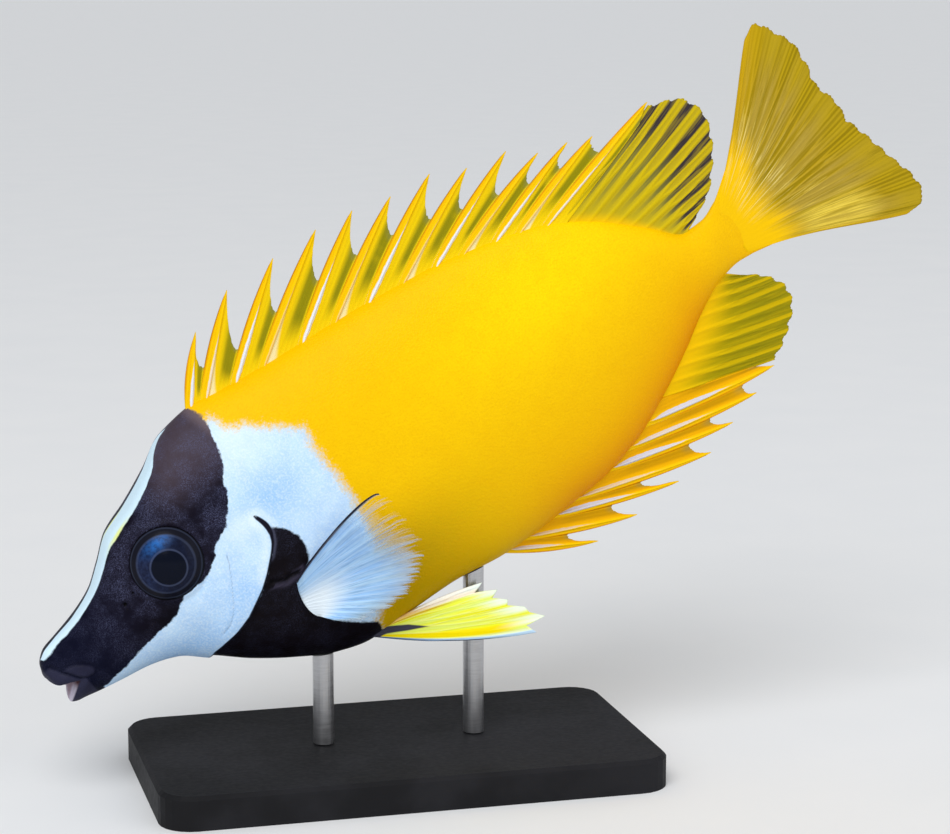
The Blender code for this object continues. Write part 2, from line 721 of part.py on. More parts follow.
def spiny_columns(feet, tips, notches, upper, last_foot):
    """Columns of a spiny fin: front edge, crest and rear of each spine, then its membrane."""
    rng = np.random.default_rng(SEED)
    sign = -1.0 if upper else 1.0
    thin = MEMBRANE_HALF
    columns = []
    for i, tip in enumerate(tips):
        foot, end, run, behind = front_edge(feet[i], tip, upper)
        stout = SPINE_HALF * rng.uniform(*RAY_VARIES)
        rear_s = feet[i] + SPINE_HALF_WIDTH * rng.uniform(*FOOT_VARIES)
        rear = Vector(tip) - run * SPINE_SHOULDER + behind * SPINE_TIP_WIDTH
        columns.append((tuple(foot), tuple(end), sign * SPINE_BOW, thin + FLANK_EXTRA, thin))
        columns.append((edge_foot(feet[i], upper), tip, sign * SPINE_BOW / 3, stout,
                        SPINE_TIP_HALF))
        columns.append((edge_foot(rear_s, upper), tuple(rear), 0.0, thin + FLANK_EXTRA, thin))
        if i + 1 == len(tips):
            break
        last = notch_column(feet[i + 1], tips[i + 1], notches[i], upper)
        goal = Vector(last[1])
        pull = rear.lerp(goal, EDGE_PULL[0]) - behind * EDGE_PULL[1]
        for share in EDGE_SHARES:
            edge = rear.lerp(pull, share).lerp(pull.lerp(goal, share), share)
            foot_s = rear_s + (last[0][0] - rear_s) * share
            columns.append((edge_foot(foot_s, upper), tuple(edge), 0.0, thin, thin))
        columns.append(last)
    back = Vector(tips[-1]) - Vector(edge_foot(feet[-1], upper))
    tail_tip = Vector(tips[-1]) - back * SPINY_END_SHARE
    columns.append((edge_foot(last_foot, upper), tuple(tail_tip), 0.0, thin, thin))
    return columns


def share_of(ends, share):
    return ends[0] + (ends[1] - ends[0]) * share


def soft_columns(feet_line, tips, rays, dip, half, bows=(0.0, 0.0)):
    """Columns of a soft fin: each ray's crest and the thin membrane between two rays."""
    rng = np.random.default_rng(SEED + rays)
    columns = []
    total = 2 * rays - 1
    for k in range(total):
        share = k / (total - 1)
        foot = along(feet_line, share)
        tip = along(tips, share)
        if k % 2 == 0:
            columns.append((foot, tip, share_of(bows, share), half * rng.uniform(*RAY_VARIES),
                            MEMBRANE_HALF))
        else:
            back = (Vector(tip) - Vector(foot)).normalized() * dip * rng.uniform(*DIP_VARIES)
            columns.append((foot, tuple(Vector(tip) - back), share_of(bows, share),
                            MEMBRANE_HALF, MEMBRANE_HALF))
    return columns


def feet_line(span, upper):
    return [edge_foot(s, upper) for s in np.linspace(*span, FOOT_POINTS)]


def make_median_fins():
    spiny = spiny_columns(DORSAL_SPINE_FEET, DORSAL_SPINE_TIPS, DORSAL_NOTCHES, True,
                          DORSAL_SOFT_FEET[0] - SOFT_AHEAD)
    dorsal_spiny = median_sheet("dorsal_fin_spiny", spiny, FIN_ROWS, FOOT_HALF)
    soft = soft_columns(feet_line(DORSAL_SOFT_FEET, True), DORSAL_SOFT_TIPS,
                        DORSAL_SOFT_RAYS, SOFT_DIP, RAY_HALF)
    dorsal_soft = median_sheet("dorsal_fin_soft", soft, FIN_ROWS, FOOT_HALF, SOFT_SWAY)
    spiny = spiny_columns(ANAL_SPINE_FEET, ANAL_SPINE_TIPS, ANAL_NOTCHES, False,
                          ANAL_SOFT_FEET[0] - SOFT_AHEAD)
    anal_spiny = median_sheet("anal_fin_spiny", spiny, FIN_ROWS, FOOT_HALF)
    soft = soft_columns(feet_line(ANAL_SOFT_FEET, False), ANAL_SOFT_TIPS,
                        ANAL_SOFT_RAYS, SOFT_DIP, RAY_HALF)
    anal_soft = median_sheet("anal_fin_soft", soft, FIN_ROWS, FOOT_HALF, SOFT_SWAY)
    foot = [(CAUDAL_FOOT_S, h) for h in np.linspace(*CAUDAL_FOOT_H, FOOT_POINTS)]
    tail = soft_columns(foot, CAUDAL_TIPS, CAUDAL_RAYS, CAUDAL_DIP, RAY_HALF, CAUDAL_BOWS)
    caudal = median_sheet("caudal_fin", tail, FIN_ROWS, CAUDAL_FOOT_HALF, CAUDAL_SWAY,
                          CAUDAL_SKEW)
    return dorsal_spiny, dorsal_soft, anal_spiny, anal_soft, caudal


def paired_sheet(name, columns, rows, side):
    """Fin off the middle plane: a column is foot, tip, bows out and across, thicknesses."""
    left = []
    right = []
    for foot, tip, bow, edge_bow, foot_half, thick, thin in columns:
        lefts = []
        rights = []
        run = (Vector(tip) - Vector(foot)).normalized()
        across = Vector((run.z, 0.0, -run.x)) * edge_bow
        for v in rows:
            place = Vector(foot).lerp(Vector(tip), v) + across * bow_share(v)
            out = place.y + bow * bow_share(v)
            half = thick + (thin - thick) * v
            if v < FOOT_SHARE:
                half = foot_half + (half - foot_half) * v / FOOT_SHARE
            lefts.append((place.x, side * (out - half), place.z))
            rights.append((place.x, side * (out + half), place.z))
        left.append(lefts)
        right.append(rights)
    return sheet(name, left, right)


def make_pectoral(name, side):
    rng = np.random.default_rng(SEED)
    columns = []
    total = 2 * PECTORAL_RAYS - 1
    for k in range(total):
        share = k / (total - 1)
        s0, h0 = along(PECTORAL_FEET, share)
        s1, h1 = along(PECTORAL_TIPS, share)
        y0 = flank_y(s0, h0) + GAP + PECTORAL_FOOT_HALF
        y1 = flank_y(s0, h0) + share_of(PECTORAL_OUT, share)
        half = RAY_HALF * rng.uniform(*RAY_VARIES)
        if k == 0:
            half = RAY_HALF * PECTORAL_FIRST_RAY
        if k % 2 == 1:
            dip = rng.uniform(*PECTORAL_DIP)
            s1 += (s0 - s1) * dip
            h1 += (h0 - h1) * dip
            half = MEMBRANE_HALF
        columns.append(((s0, y0, h0), (s1, y1, h1), PECTORAL_BOW,
                        share_of(PECTORAL_EDGE_BOWS, share), PECTORAL_FOOT_HALF, half,
                        MEMBRANE_HALF))
    return paired_sheet(name, columns, PECTORAL_ROWS, side)


def make_pelvic(name, side, points):
    columns = []
    rays = len(points)
    tips = tuple(zip(*points))
    total = 2 * rays - 1
    for k in range(total):
        share = k / (total - 1)
        s0 = share_of(PELVIC_FEET, share)
        y0 = PELVIC_FOOT_Y
        h0 = skin_below(s0, y0) - GAP
        s1, h1 = (float(np.interp(k / 2, range(rays), values)) for values in tips)
        y1 = share_of(PELVIC_TIP_Y, share)
        half = RAY_HALF
        if k in (0, total - 1):
            half = PELVIC_SPINE_HALF
        if k % 2 == 1:
            dip = PELVIC_DIPS[k // 2] / math.hypot(s1 - s0, h1 - h0)
            s1 += (s0 - s1) * dip
            h1 += (h0 - h1) * dip
            half = MEMBRANE_HALF
        columns.append(((s0, y0, h0), (s1, y1, h1), PELVIC_BOW,
                        share_of(PELVIC_EDGE_BOWS, share), PELVIC_FOOT_HALF, half,
                        MEMBRANE_HALF))
    return paired_sheet(name, columns, FIN_ROWS, side)


def skin_below(s, y):
    """Height of the belly's skin at station s, y away from the middle."""
    bottom = body_bottom(s)
    middle = bottom + (body_top(s) - bottom) * body_value(s, 4)
    share = min(abs(y) / body_value(s, 3), 1.0)
    return middle - (middle - bottom) * math.sqrt(1 - share * share)


def make_base():
    """Flat base with round corners and a softened upper edge."""
    half_x = BASE_SIZE[0] / 2
    half_y = BASE_SIZE[1] / 2
    outline = []
    for corner, (sx, sy) in enumerate(((1, 1), (-1, 1), (-1, -1), (1, -1))):
        for k in range(BASE_CORNER_STEPS + 1):
            turn = math.radians(90 * corner + 90 * k / BASE_CORNER_STEPS)
            outline.append((sx * (half_x - BASE_CORNER), sy * (half_y - BASE_CORNER), turn))
    levels = ((0.0, 0.0), (BASE_SIZE[2] - BASE_EDGE, 0.0), (BASE_SIZE[2], BASE_EDGE))
    vertices = []
    for z, inset in levels:
        r = BASE_CORNER - inset
        for x, y, turn in outline:
            vertices.append(Vector((x + r * math.cos(turn), y + r * math.sin(turn), z)) * MM)
    n = len(outline)
    faces = [tuple(reversed(range(n))), tuple(range(2 * n, 3 * n))]
    for level in range(2):
        for k in range(n):
            j = (k + 1) % n
            a = level * n
            faces.append((a + k, a + j, a + n + j, a + n + k))
    return object_from("stand_base", vertices, faces)


def make_rod(name, s, trunk):
    """Upright rod from the base, its top shaped to the belly a gap below the skin."""
    touch = posed((s, 0.0, body_bottom(s)))
    z0 = (BASE_SIZE[2] + GAP) * MM
    z1 = touch.z + ROD_REACH * MM
    vertices = []
    for z in (z0, z1):
        for k in range(ROD_SIDES):
            turn = 2 * math.pi * k / ROD_SIDES
            vertices.append((touch.x + ROD_RADIUS * MM * math.cos(turn),
                             ROD_RADIUS * MM * math.sin(turn), z))
    n = ROD_SIDES
    faces = [tuple(reversed(range(n))), tuple(range(n, 2 * n))]
    for k in range(n):
        j = (k + 1) % n
        faces.append((k, j, n + j, n + k))
    rod = object_from(name, vertices, faces)
    tool = bpy.data.objects.new("grown_trunk", trunk.data.copy())
    bpy.context.scene.collection.objects.link(tool)
    for vertex in tool.data.vertices:
        vertex.co = vertex.co + vertex.normal * GAP * MM
    boolean(rod, tool, "DIFFERENCE")
    groups = sorted(shells(rod.data),
                    key=lambda group: min(rod.data.vertices[i].co.z for i in group))
    lowest = shell_object(name + "_kept", rod, groups[0])
    bpy.data.objects.remove(rod)
    lowest.name = name
    triangulated(lowest)
    return lowest


def main():
    for old in list(bpy.data.objects):
        bpy.data.objects.remove(old)
    dark = material("dark_skin", (0.045, 0.03, 0.04), 0.42)
    yellow = material("yellow_skin", (0.95, 0.58, 0.01), 0.42)
    stalk_yellow = material("stalk_yellow", (0.9, 0.5, 0.01), 0.42)
    fin_yellow = material("fin_yellow", (0.85, 0.5, 0.02), 0.45)
    fin_dusky = material("fin_dusky", (0.5, 0.45, 0.06), 0.45)
    fin_orange = material("fin_orange", (0.85, 0.38, 0.01), 0.45)
    fin_olive = material("fin_olive", (0.5, 0.48, 0.05), 0.45)
    tail_gold = material("tail_gold", (0.72, 0.47, 0.04), 0.45)
    fin_pale = material("fin_pale", (0.55, 0.68, 0.85), 0.4)
    fin_lemon = material("fin_lemon", (0.85, 0.82, 0.25), 0.4)
    eye_dark = material("eye_dark", (0.012, 0.02, 0.05), 0.08)
    stand_black = material("stand_matte", (0.03, 0.03, 0.033), 0.6)
    rod_steel = material("rod_steel", (0.62, 0.62, 0.62), 0.32, 1.0)

    head, trunk, stalk = make_flesh()
    median = make_median_fins()
    pectorals = (make_pectoral("pectoral_fin_left", -1), make_pectoral("pectoral_fin_right", 1))
    pelvics = (make_pelvic("pelvic_fin_left", -1, PELVIC_TIPS_LEFT),
               make_pelvic("pelvic_fin_right", 1, PELVIC_TIPS_RIGHT))
    eyes = (eyeball("eye_left", -1, 0.0), eyeball("eye_right", 1, 0.0))
    for target in (head, trunk, stalk) + median + pectorals + pelvics + eyes:
        pose(target)
    base = make_base()
    rods = (make_rod("stand_rod_front", ROD_FRONT_S, trunk),
            make_rod("stand_rod_back", ROD_BACK_S, trunk))

    finish(head, dark)
    finish(trunk, yellow)
    finish(stalk, stalk_yellow)
    for target, made in zip(median, (fin_yellow, fin_dusky, fin_orange, fin_olive, tail_gold)):
        finish(target, made)
    for target in pectorals:
        finish(target, fin_pale)
    for target in pelvics:
        finish(target, fin_lemon)
    for target in eyes:
        finish(target, eye_dark)
    finish(base, stand_black)
    for target in rods:
        finish(target, rod_steel)


main()
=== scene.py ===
"""Looks of the foxface rabbitfish model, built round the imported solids."""
import math
import bpy
import numpy as np
from mathutils import Matrix, Vector


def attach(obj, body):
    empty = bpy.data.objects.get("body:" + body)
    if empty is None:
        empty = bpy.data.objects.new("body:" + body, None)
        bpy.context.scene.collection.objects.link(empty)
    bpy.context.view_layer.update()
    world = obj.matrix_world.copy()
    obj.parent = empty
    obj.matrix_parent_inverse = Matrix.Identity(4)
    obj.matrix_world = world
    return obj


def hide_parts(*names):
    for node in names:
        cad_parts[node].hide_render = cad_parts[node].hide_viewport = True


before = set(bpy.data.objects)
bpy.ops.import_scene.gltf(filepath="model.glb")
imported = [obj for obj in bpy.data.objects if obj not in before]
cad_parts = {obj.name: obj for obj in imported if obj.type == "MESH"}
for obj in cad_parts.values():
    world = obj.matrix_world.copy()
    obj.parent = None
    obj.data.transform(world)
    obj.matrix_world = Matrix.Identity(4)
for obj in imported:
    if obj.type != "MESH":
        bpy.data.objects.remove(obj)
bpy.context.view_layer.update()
MM = 0.001

# Pose, body and fins in mm, from the part's source with finer pectoral and pelvic outlines
PITCH_DEG = 37.0
PIVOT_S = 100.4
PIVOT_X = 18.0
PIVOT_Z = 75.0
BEND_START_S = 135.4
BEND_END_S = 195.4
TAIL_BEND_DEG = 16.0
SNOUT_POLE = (-1.62, 15.0)
# Columns of BODY: station, back, belly, half width, level of the widest line, power of the back
BACK, BELLY, HALF_WIDTH, WIDEST, POWER = range(1, 6)
BODY = (
    (-1.2, 16.5, 9.4, 1.7, 0.50, 0.8),
    (-0.8, 17.5, 7.6, 2.5, 0.50, 0.75),
    (0.2, 18.6, 6.95, 3.3, 0.48, 0.7),
    (2.0, 19.6, 6.4, 4.0, 0.46, 0.56),
    (5.0, 20.1, 5.55, 4.7, 0.44, 0.50),
    (10.0, 21.0, 4.4, 5.8, 0.44, 0.46),
    (16.0, 22.9, 3.1, 7.1, 0.46, 0.45),
    (21.0, 26.2, 1.1, 8.2, 0.48, 0.45),
    (26.5, 30.2, -3.1, 9.3, 0.50, 0.44),
    (33.0, 32.3, -9.6, 10.6, 0.50, 0.44),
    (40.0, 35.3, -15.4, 11.0, 0.47, 0.50),
    (47.5, 39.2, -20.4, 11.3, 0.45, 0.75),
    (55.0, 40.1, -23.1, 11.6, 0.45, 1.1),
    (63.0, 38.6, -23.7, 11.8, 0.46, 1.1),
    (75.0, 36.7, -24.7, 11.6, 0.47, 1.1),
    (88.5, 35.0, -27.4, 10.9, 0.50, 1.1),
    (101.0, 33.1, -28.2, 9.8, 0.50, 1.1),
    (113.0, 30.8, -28.3, 8.4, 0.50, 1.1),
    (123.5, 27.8, -26.8, 7.1, 0.50, 1.1),
    (135.6, 23.4, -22.4, 5.7, 0.50, 1.1),
    (144.7, 17.2, -18.0, 4.7, 0.50, 1.1),
    (153.0, 8.9, -13.5, 3.9, 0.50, 1.1),
    (159.5, 2.1, -11.1, 3.3, 0.50, 1.0),
    (164.5, 1.6, -10.6, 2.8, 0.50, 1.0),
    (169.2, 2.9, -11.4, 2.2, 0.50, 1.0),
)
GILL_LINE = (
    (57.5, 60.0), (55.4, 40.3), (53.6, 33.0), (52.5, 26.0), (52.0, 20.0), (52.1, 15.6),
    (52.45, 13.2), (52.1, 11.5), (51.2, 9.9), (49.0, 7.7), (46.2, 5.3), (43.7, 3.5),
    (41.3, 2.2), (38.2, 0.5), (34.5, -0.8), (31.4, -1.4), (28.2, -2.2), (25.4, -4.2),
    (23.6, -7.5), (22.0, -14.0),
)
GILL_LIFT = 0.55
GILL_LIFT_REACH = 6.0
GILL_LIFT_TOP_H = 17.0
MOUTH_UPPER = (
    (-1.5, 14.9), (-1.25, 13.9), (-0.75, 13.0), (0.0, 12.35), (0.85, 12.0), (1.8, 11.8),
    (2.8, 11.35), (3.9, 10.8),
)
MOUTH_LOWER = ((3.9, 10.8), (2.7, 10.0), (1.6, 9.15), (0.4, 8.2), (-0.4, 7.5), (-1.6, 7.0))
MOUTH_FRONT = (
    (-4.0, 6.9), (-0.85, 7.2), (-0.8, 7.6), (-0.65, 8.5), (0.0, 9.8), (0.75, 11.0),
    (0.85, 12.0), (0.0, 12.35), (-0.75, 13.0), (-1.25, 13.9), (-1.5, 14.9), (-4.0, 15.6),
)
MOUTH_HOLLOW = MOUTH_LOWER + (
    (-1.6, 8.4), (-0.8, 9.8), (0.0, 11.2), (0.5, 12.1), (0.85, 12.0), (1.8, 11.8), (2.8, 11.35),
)
LIP_HEIGHT = 0.45
LIP_WIDTH = 1.1
LIP_REACH_S = 7.5
NOSTRILS = ((20.6, 18.2, 0.6), (23.2, 19.2, 0.42))
EYE_S = 32.25
EYE_H = 20.2
EYE_RADIUS = 8.2
SPINE_FRONT = 1.2
SPINE_BOW = 0.85
EYE_DEPTH_RADIUS = 5.2
EYE_BULGE = 2.8
EYE_YAW_DEG = 7.0
EYE_ROLL_DEG = 9.0

DORSAL_SPINE_FEET = (
    55.3, 58.7, 65.2, 71.5, 80.8, 88.4, 96.5, 104.3, 112.0, 118.0, 125.1, 130.2, 135.9,
)
DORSAL_SPINE_TIPS = (
    (65.9, 51.1), (76.1, 53.8), (87.4, 53.0), (97.8, 52.1), (106.1, 50.5), (114.1, 47.8),
    (123.3, 46.4), (130.2, 42.5), (138.8, 40.1), (144.0, 35.6), (150.3, 33.4), (155.4, 31.0),
    (169.5, 28.9),
)
DORSAL_NOTCHES = (
    (62.0, 45.0), (69.2, 44.2), (80.7, 44.5), (91.2, 44.3), (100.5, 43.8), (109.2, 41.8),
    (117.1, 40.1), (123.9, 36.9), (131.5, 35.0), (138.3, 32.4), (145.6, 30.6), (154.0, 28.7),
)
DORSAL_SOFT_FEET = (139.6, 158.6)
DORSAL_SOFT_TIPS = (
    (172.2, 27.5), (176.0, 25.4), (178.5, 22.5), (179.5, 18.6), (178.3, 14.9), (175.9, 11.0),
    (172.5, 7.4), (170.0, 5.2), (166.6, 3.7), (163.2, 2.6),
)
DORSAL_SOFT_RAYS = 10
ANAL_SPINE_FEET = (88.0, 92.4, 100.1, 105.6, 115.6, 121.5, 128.0)
ANAL_SPINE_TIPS = (
    (105.2, -38.7), (115.3, -39.7), (126.8, -39.9), (136.1, -39.5), (143.8, -37.4),
    (151.8, -35.7), (158.5, -33.6),
)
ANAL_NOTCHES = (
    (100.4, -33.6), (111.3, -35.7), (119.9, -34.6), (132.5, -36.4), (139.6, -34.8),
    (149.5, -34.5),
)
ANAL_SOFT_FEET = (133.4, 160.8)
ANAL_SOFT_TIPS = (
    (159.6, -33.0), (163.4, -31.6), (166.7, -29.7), (169.9, -27.3), (171.7, -24.2),
    (171.5, -21.2), (169.8, -18.1), (167.4, -15.6), (164.6, -13.6),
)
ANAL_SOFT_RAYS = 9
CAUDAL_FOOT_S = 169.5
CAUDAL_FOOT_H = (2.7, -11.2)
CAUDAL_TIPS = (
    (197.1, 24.0), (199.1, 25.1), (200.8, 25.6), (202.5, 25.4), (204.2, 22.3), (206.0, 19.0),
    (207.3, 16.6), (207.2, 14.0), (206.9, 9.5), (206.0, 7.4), (206.2, 5.4), (207.9, 0.1),
    (207.6, -5.0), (209.4, -10.4), (211.5, -18.1), (213.6, -24.6), (213.7, -27.5),
    (212.8, -30.1), (211.1, -30.9), (208.8, -30.9), (206.3, -30.3),
)
CAUDAL_RAYS = 17
CAUDAL_BOWS = (0.7, -1.1)
CAUDAL_SKEW = 2.0
CAUDAL_SWAY = 0.8
PECTORAL_ROOT = (
    (50.9, 0.4), (50.4, -0.6), (49.95, -1.6), (49.6, -2.7), (49.3, -3.9), (49.15, -5.2),
    (49.15, -6.4), (49.35, -7.5), (49.75, -8.5),
)
PECTORAL_TIPS = (
    (73.8, 5.7), (75.0, 3.9), (75.6, 1.0), (75.1, -3.5), (75.1, -8.6), (73.6, -11.4),
    (69.9, -14.8), (66.0, -16.2), (61.0, -15.7), (56.0, -14.6), (52.0, -11.6),
)
PECTORAL_RAYS = 15
PECTORAL_OUT = (6.2, 3.4)
PECTORAL_EDGE_BOWS = (-1.8, 0.0)
PECTORAL_SKEW = 0.6
PELVIC_FEET = (58.4, 55.4)
PELVIC_FOOT_Y = 2.6
PELVIC_TIPS_LEFT = (
    (80.0, -27.9), (81.6, -31.1), (82.0, -34.1), (83.8, -37.5), (86.0, -41.8), (82.4, -43.2),
)
PELVIC_TIPS_RIGHT = (
    (76.5, -32.6), (78.0, -34.6), (79.2, -36.6), (81.2, -39.0), (83.4, -42.6), (80.4, -43.6),
)
PELVIC_DIPS = (3.6, 2.4, 2.0, 1.2, 3.2)
PELVIC_TIP_Y = (3.8, 6.6)
PELVIC_BLADE = (
    (54.0, -21.0), (58.4, -21.8), (62.5, -24.6), (66.2, -28.2), (61.8, -25.9), (57.6, -23.4),
    (54.0, -22.6),
)
PELVIC_EDGE_BOWS = (-0.9, 1.4)

# Markings in s and h: rear edge of the black face band, edge of the white shoulder, black breast
BAND = (
    (54.4, 60.0), (55.2, 40.0), (56.4, 38.0), (55.8, 35.2), (55.1, 32.8), (54.4, 30.5),
    (53.5, 28.1), (51.4, 26.2), (50.6, 23.8), (49.5, 22.1), (47.2, 19.7), (46.2, 18.3),
    (43.9, 17.7), (41.9, 16.6), (40.6, 15.2), (37.4, 13.1), (35.6, 12.7), (31.2, 12.7),
    (27.8, 10.6), (25.5, 9.6), (22.0, 9.4), (18.7, 8.8), (12.7, 7.4), (6.4, 6.1),
    (4.5, -10.0), (-10.0, -10.0), (-10.0, 60.0),
)
WHITE = (
    (-10.0, 36.4), (57.0, 36.3), (58.9, 33.6), (63.5, 29.9), (68.1, 26.1), (70.5, 23.6),
    (69.6, 18.2), (69.5, 13.1), (69.7, 6.8), (67.6, -3.0), (63.4, -12.0), (58.2, -18.8),
    (52.0, -40.0), (-10.0, -40.0),
)
BREAST = (
    (52.3, 13.3), (53.1, 12.4), (54.3, 11.5), (55.5, 9.7), (56.1, 7.8), (56.0, 4.8), (54.8, 2.1),
    (52.1, 0.8), (49.9, -2.9), (49.3, -7.3), (51.2, -12.1), (54.4, -15.8), (58.0, -19.2),
    (57.4, -30.0), (22.0, -30.0), (22.0, -14.0), (23.6, -7.5), (25.4, -4.2), (28.2, -2.2),
    (31.4, -1.4), (34.5, -0.8), (38.2, 0.5), (41.3, 2.2), (43.7, 3.5), (46.2, 5.3), (49.0, 7.7),
    (51.2, 9.9), (52.1, 11.5),
)
BLAZE_S = (
    -1.0, 0.1, 0.5, 1.6, 2.9, 4.3, 5.6, 7.5, 9.6, 11.8, 14.4, 17.1, 19.8, 22.4, 25.2, 27.7,
    29.7, 32.0, 34.7, 37.2, 39.6, 42.0, 44.0, 46.2, 49.0, 52.0,
)
BLAZE_NEAR = (
    1.0, -0.9, -1.9, -2.65, -2.95, -2.95, -3.1, -3.4, -3.55, -3.75, -3.85, -4.15, -4.75, -4.95,
    -5.5, -6.0, -6.0, -6.0, -5.95, -5.75, -5.3, -4.6, -2.6, -1.2, 0.0, 1.0,
)
BLAZE_FAR = (
    -1.0, -0.5, -0.9, -1.1, -0.9, -0.5, -0.2, -0.2, -0.2, 0.3, 0.8, 1.2, 1.4, 1.7, 1.8, 1.6,
    1.5, 1.6, 1.7, 1.6, 1.7, 2.4, 2.6, 1.6, 0.6, 0.0,
)
PREOPERCLE = (
    (42.6, 14.0), (41.4, 11.4), (40.0, 8.9), (38.4, 6.5), (37.4, 4.9), (36.2, 3.3), (34.2, 1.6),
    (31.9, 0.8),
)
GILL_HOOK = ((51.7, 16.3), (52.0, 15.6), (52.3, 14.5))
UPPER_SNOUT = (
    (-4.0, 16.8), (0.6, 16.6), (1.0, 16.0), (1.5, 15.4), (1.9, 14.4), (2.6, 13.5), (3.3, 12.4),
    (4.0, 11.4), (9.0, 9.0), (9.0, 40.0), (-4.0, 40.0),
)
BREAST_FOLD = ((46.1, 3.6), (47.3, 2.9), (48.5, 2.2), (50.1, 2.1), (51.6, 1.7))
LIP_CREASE = (
    (0.6, 16.6), (1.0, 16.0), (1.5, 15.4), (1.9, 14.4), (2.6, 13.5), (3.3, 12.4), (4.0, 11.4),
)
LIP_FOLD = (
    (1.9, 14.4), (2.9, 14.9), (3.9, 14.7), (4.8, 14.4), (6.3, 13.4), (7.3, 12.4), (7.8, 11.5),
    (7.7, 10.7), (7.1, 10.0), (5.6, 10.2), (4.0, 11.4), (3.3, 12.4), (2.6, 13.5),
)


def smoothstep(t):
    t = np.clip(t, 0.0, 1.0)
    return t * t * (3.0 - 2.0 * t)


def step(x, low, high):
    """0 at low, 1 at high and smooth between them, where high may be the smaller number."""
    return smoothstep((x - low) / (high - low))


def bell(x, middle, width):
    """1 at the middle, falling away smoothly over the width on both sides."""
    return np.exp(-((x - middle) / width) ** 2)


def spots(s, h, rows):
    """Sum of soft spots: strength, middle in s and h, reach in s and h."""
    return sum(share * bell(s, s0, s_reach) * bell(h, h0, h_reach)
               for share, s0, h0, s_reach, h_reach in rows)


def between(ends, share):
    return ends[0] + (ends[1] - ends[0]) * share


def unit(v):
    """Vectors, in the last axis, brought to length 1."""
    return v / np.linalg.norm(v, axis=-1, keepdims=True)


def table(x, xs, ys):
    """Monotone cubic through the points, read at an array x."""
    xs = np.asarray(xs, float)
    ys = np.asarray(ys, float)
    gap = np.diff(xs)
    slope = np.diff(ys) / gap
    m = np.zeros(len(xs))
    m[0] = slope[0]
    m[-1] = slope[-1]
    for i in range(1, len(xs) - 1):
        if slope[i - 1] * slope[i] > 0:
            w1 = 2 * gap[i] + gap[i - 1]
            w2 = gap[i] + 2 * gap[i - 1]
            m[i] = (w1 + w2) / (w1 / slope[i - 1] + w2 / slope[i])
    x = np.asarray(x, float)
    i = np.clip(np.searchsorted(xs, x) - 1, 0, len(xs) - 2)
    t = np.clip((x - xs[i]) / gap[i], 0.0, 1.0)
    a = (1 + 2 * t) * (1 - t) ** 2
    b = t * (1 - t) ** 2
    c = t * t * (3 - 2 * t)
    d = t * t * (t - 1)
    return a * ys[i] + b * gap[i] * m[i] + c * ys[i + 1] + d * gap[i] * m[i + 1]


COLUMNS = tuple(zip(*BODY))


def body(s, column):
    return table(s, COLUMNS[0], COLUMNS[column])


def profile(s):
    """Heights of the back, the belly and the widest line at stations s."""
    top = body(s, BACK)
    bottom = body(s, BELLY)
    return top, bottom, bottom + (top - bottom) * body(s, WIDEST)


def section(s, t):
    """y and h of the body's section at stations s, with t 0 on the back and pi on the belly."""
    top, bottom, middle = profile(s)
    upper = t < math.pi / 2
    power = np.where(upper, body(s, POWER), 1.0)
    height = np.where(upper, top - middle, middle - bottom)
    sine = np.clip(np.sin(t), 0.0, 1.0)
    return body(s, HALF_WIDTH) * sine ** power, middle + height * np.cos(t)


def flank_y(s, h):
    """Distance of the flank's skin from the middle plane at heights h."""
    top, bottom, middle = profile(s)
    upper = h > middle
    height = np.where(upper, top - middle, middle - bottom)
    c = np.clip(np.abs(h - middle) / height, 0.0, 1.0)
    power = np.where(upper, body(s, POWER), 1.0)
    return body(s, HALF_WIDTH) * np.sqrt(1 - c * c) ** power


def skin_below(s, y):
    """Height of the belly's skin at distances y from the middle plane."""
    _, bottom, middle = profile(s)
    share = np.clip(np.abs(y) / body(s, HALF_WIDTH), 0.0, 1.0)
    return middle - (middle - bottom) * np.sqrt(1 - share * share)


LINE_S = np.linspace(-20.0, 240.0, 2601)
LINE_TURN = math.radians(TAIL_BEND_DEG) * smoothstep(
    (LINE_S - BEND_START_S) / (BEND_END_S - BEND_START_S))
LINE_STEP = LINE_S[1] - LINE_S[0]
LINE_X = np.cumsum(np.cos(LINE_TURN)) * LINE_STEP
LINE_Y = np.cumsum(np.sin(LINE_TURN)) * LINE_STEP
LINE_X -= np.interp(PIVOT_S, LINE_S, LINE_X)
LINE_Y -= np.interp(PIVOT_S, LINE_S, LINE_Y)


def posed(p):
    """World places in metres of points (s, y, h), an array with 3 in the last axis."""
    s, y, h = p[..., 0], p[..., 1], p[..., 2]
    turn = np.interp(s, LINE_S, LINE_TURN)
    x = np.interp(s, LINE_S, LINE_X) - y * np.sin(turn)
    side = np.interp(s, LINE_S, LINE_Y) + y * np.cos(turn)
    c = math.cos(math.radians(PITCH_DEG))
    d = math.sin(math.radians(PITCH_DEG))
    return np.stack([PIVOT_X + x * c - h * d, side, PIVOT_Z + x * d + h * c], axis=-1) * MM


def line_distance(s, h, line):
    """Distance in s and h from arrays of points to a broken line."""
    best = np.full(np.shape(s), 1e9)
    for (a0, a1), (b0, b1) in zip(line, line[1:]):
        e0, e1 = b0 - a0, b1 - a1
        t = np.clip(((s - a0) * e0 + (h - a1) * e1) / (e0 * e0 + e1 * e1), 0.0, 1.0)
        best = np.minimum(best, np.hypot(s - a0 - t * e0, h - a1 - t * e1))
    return best


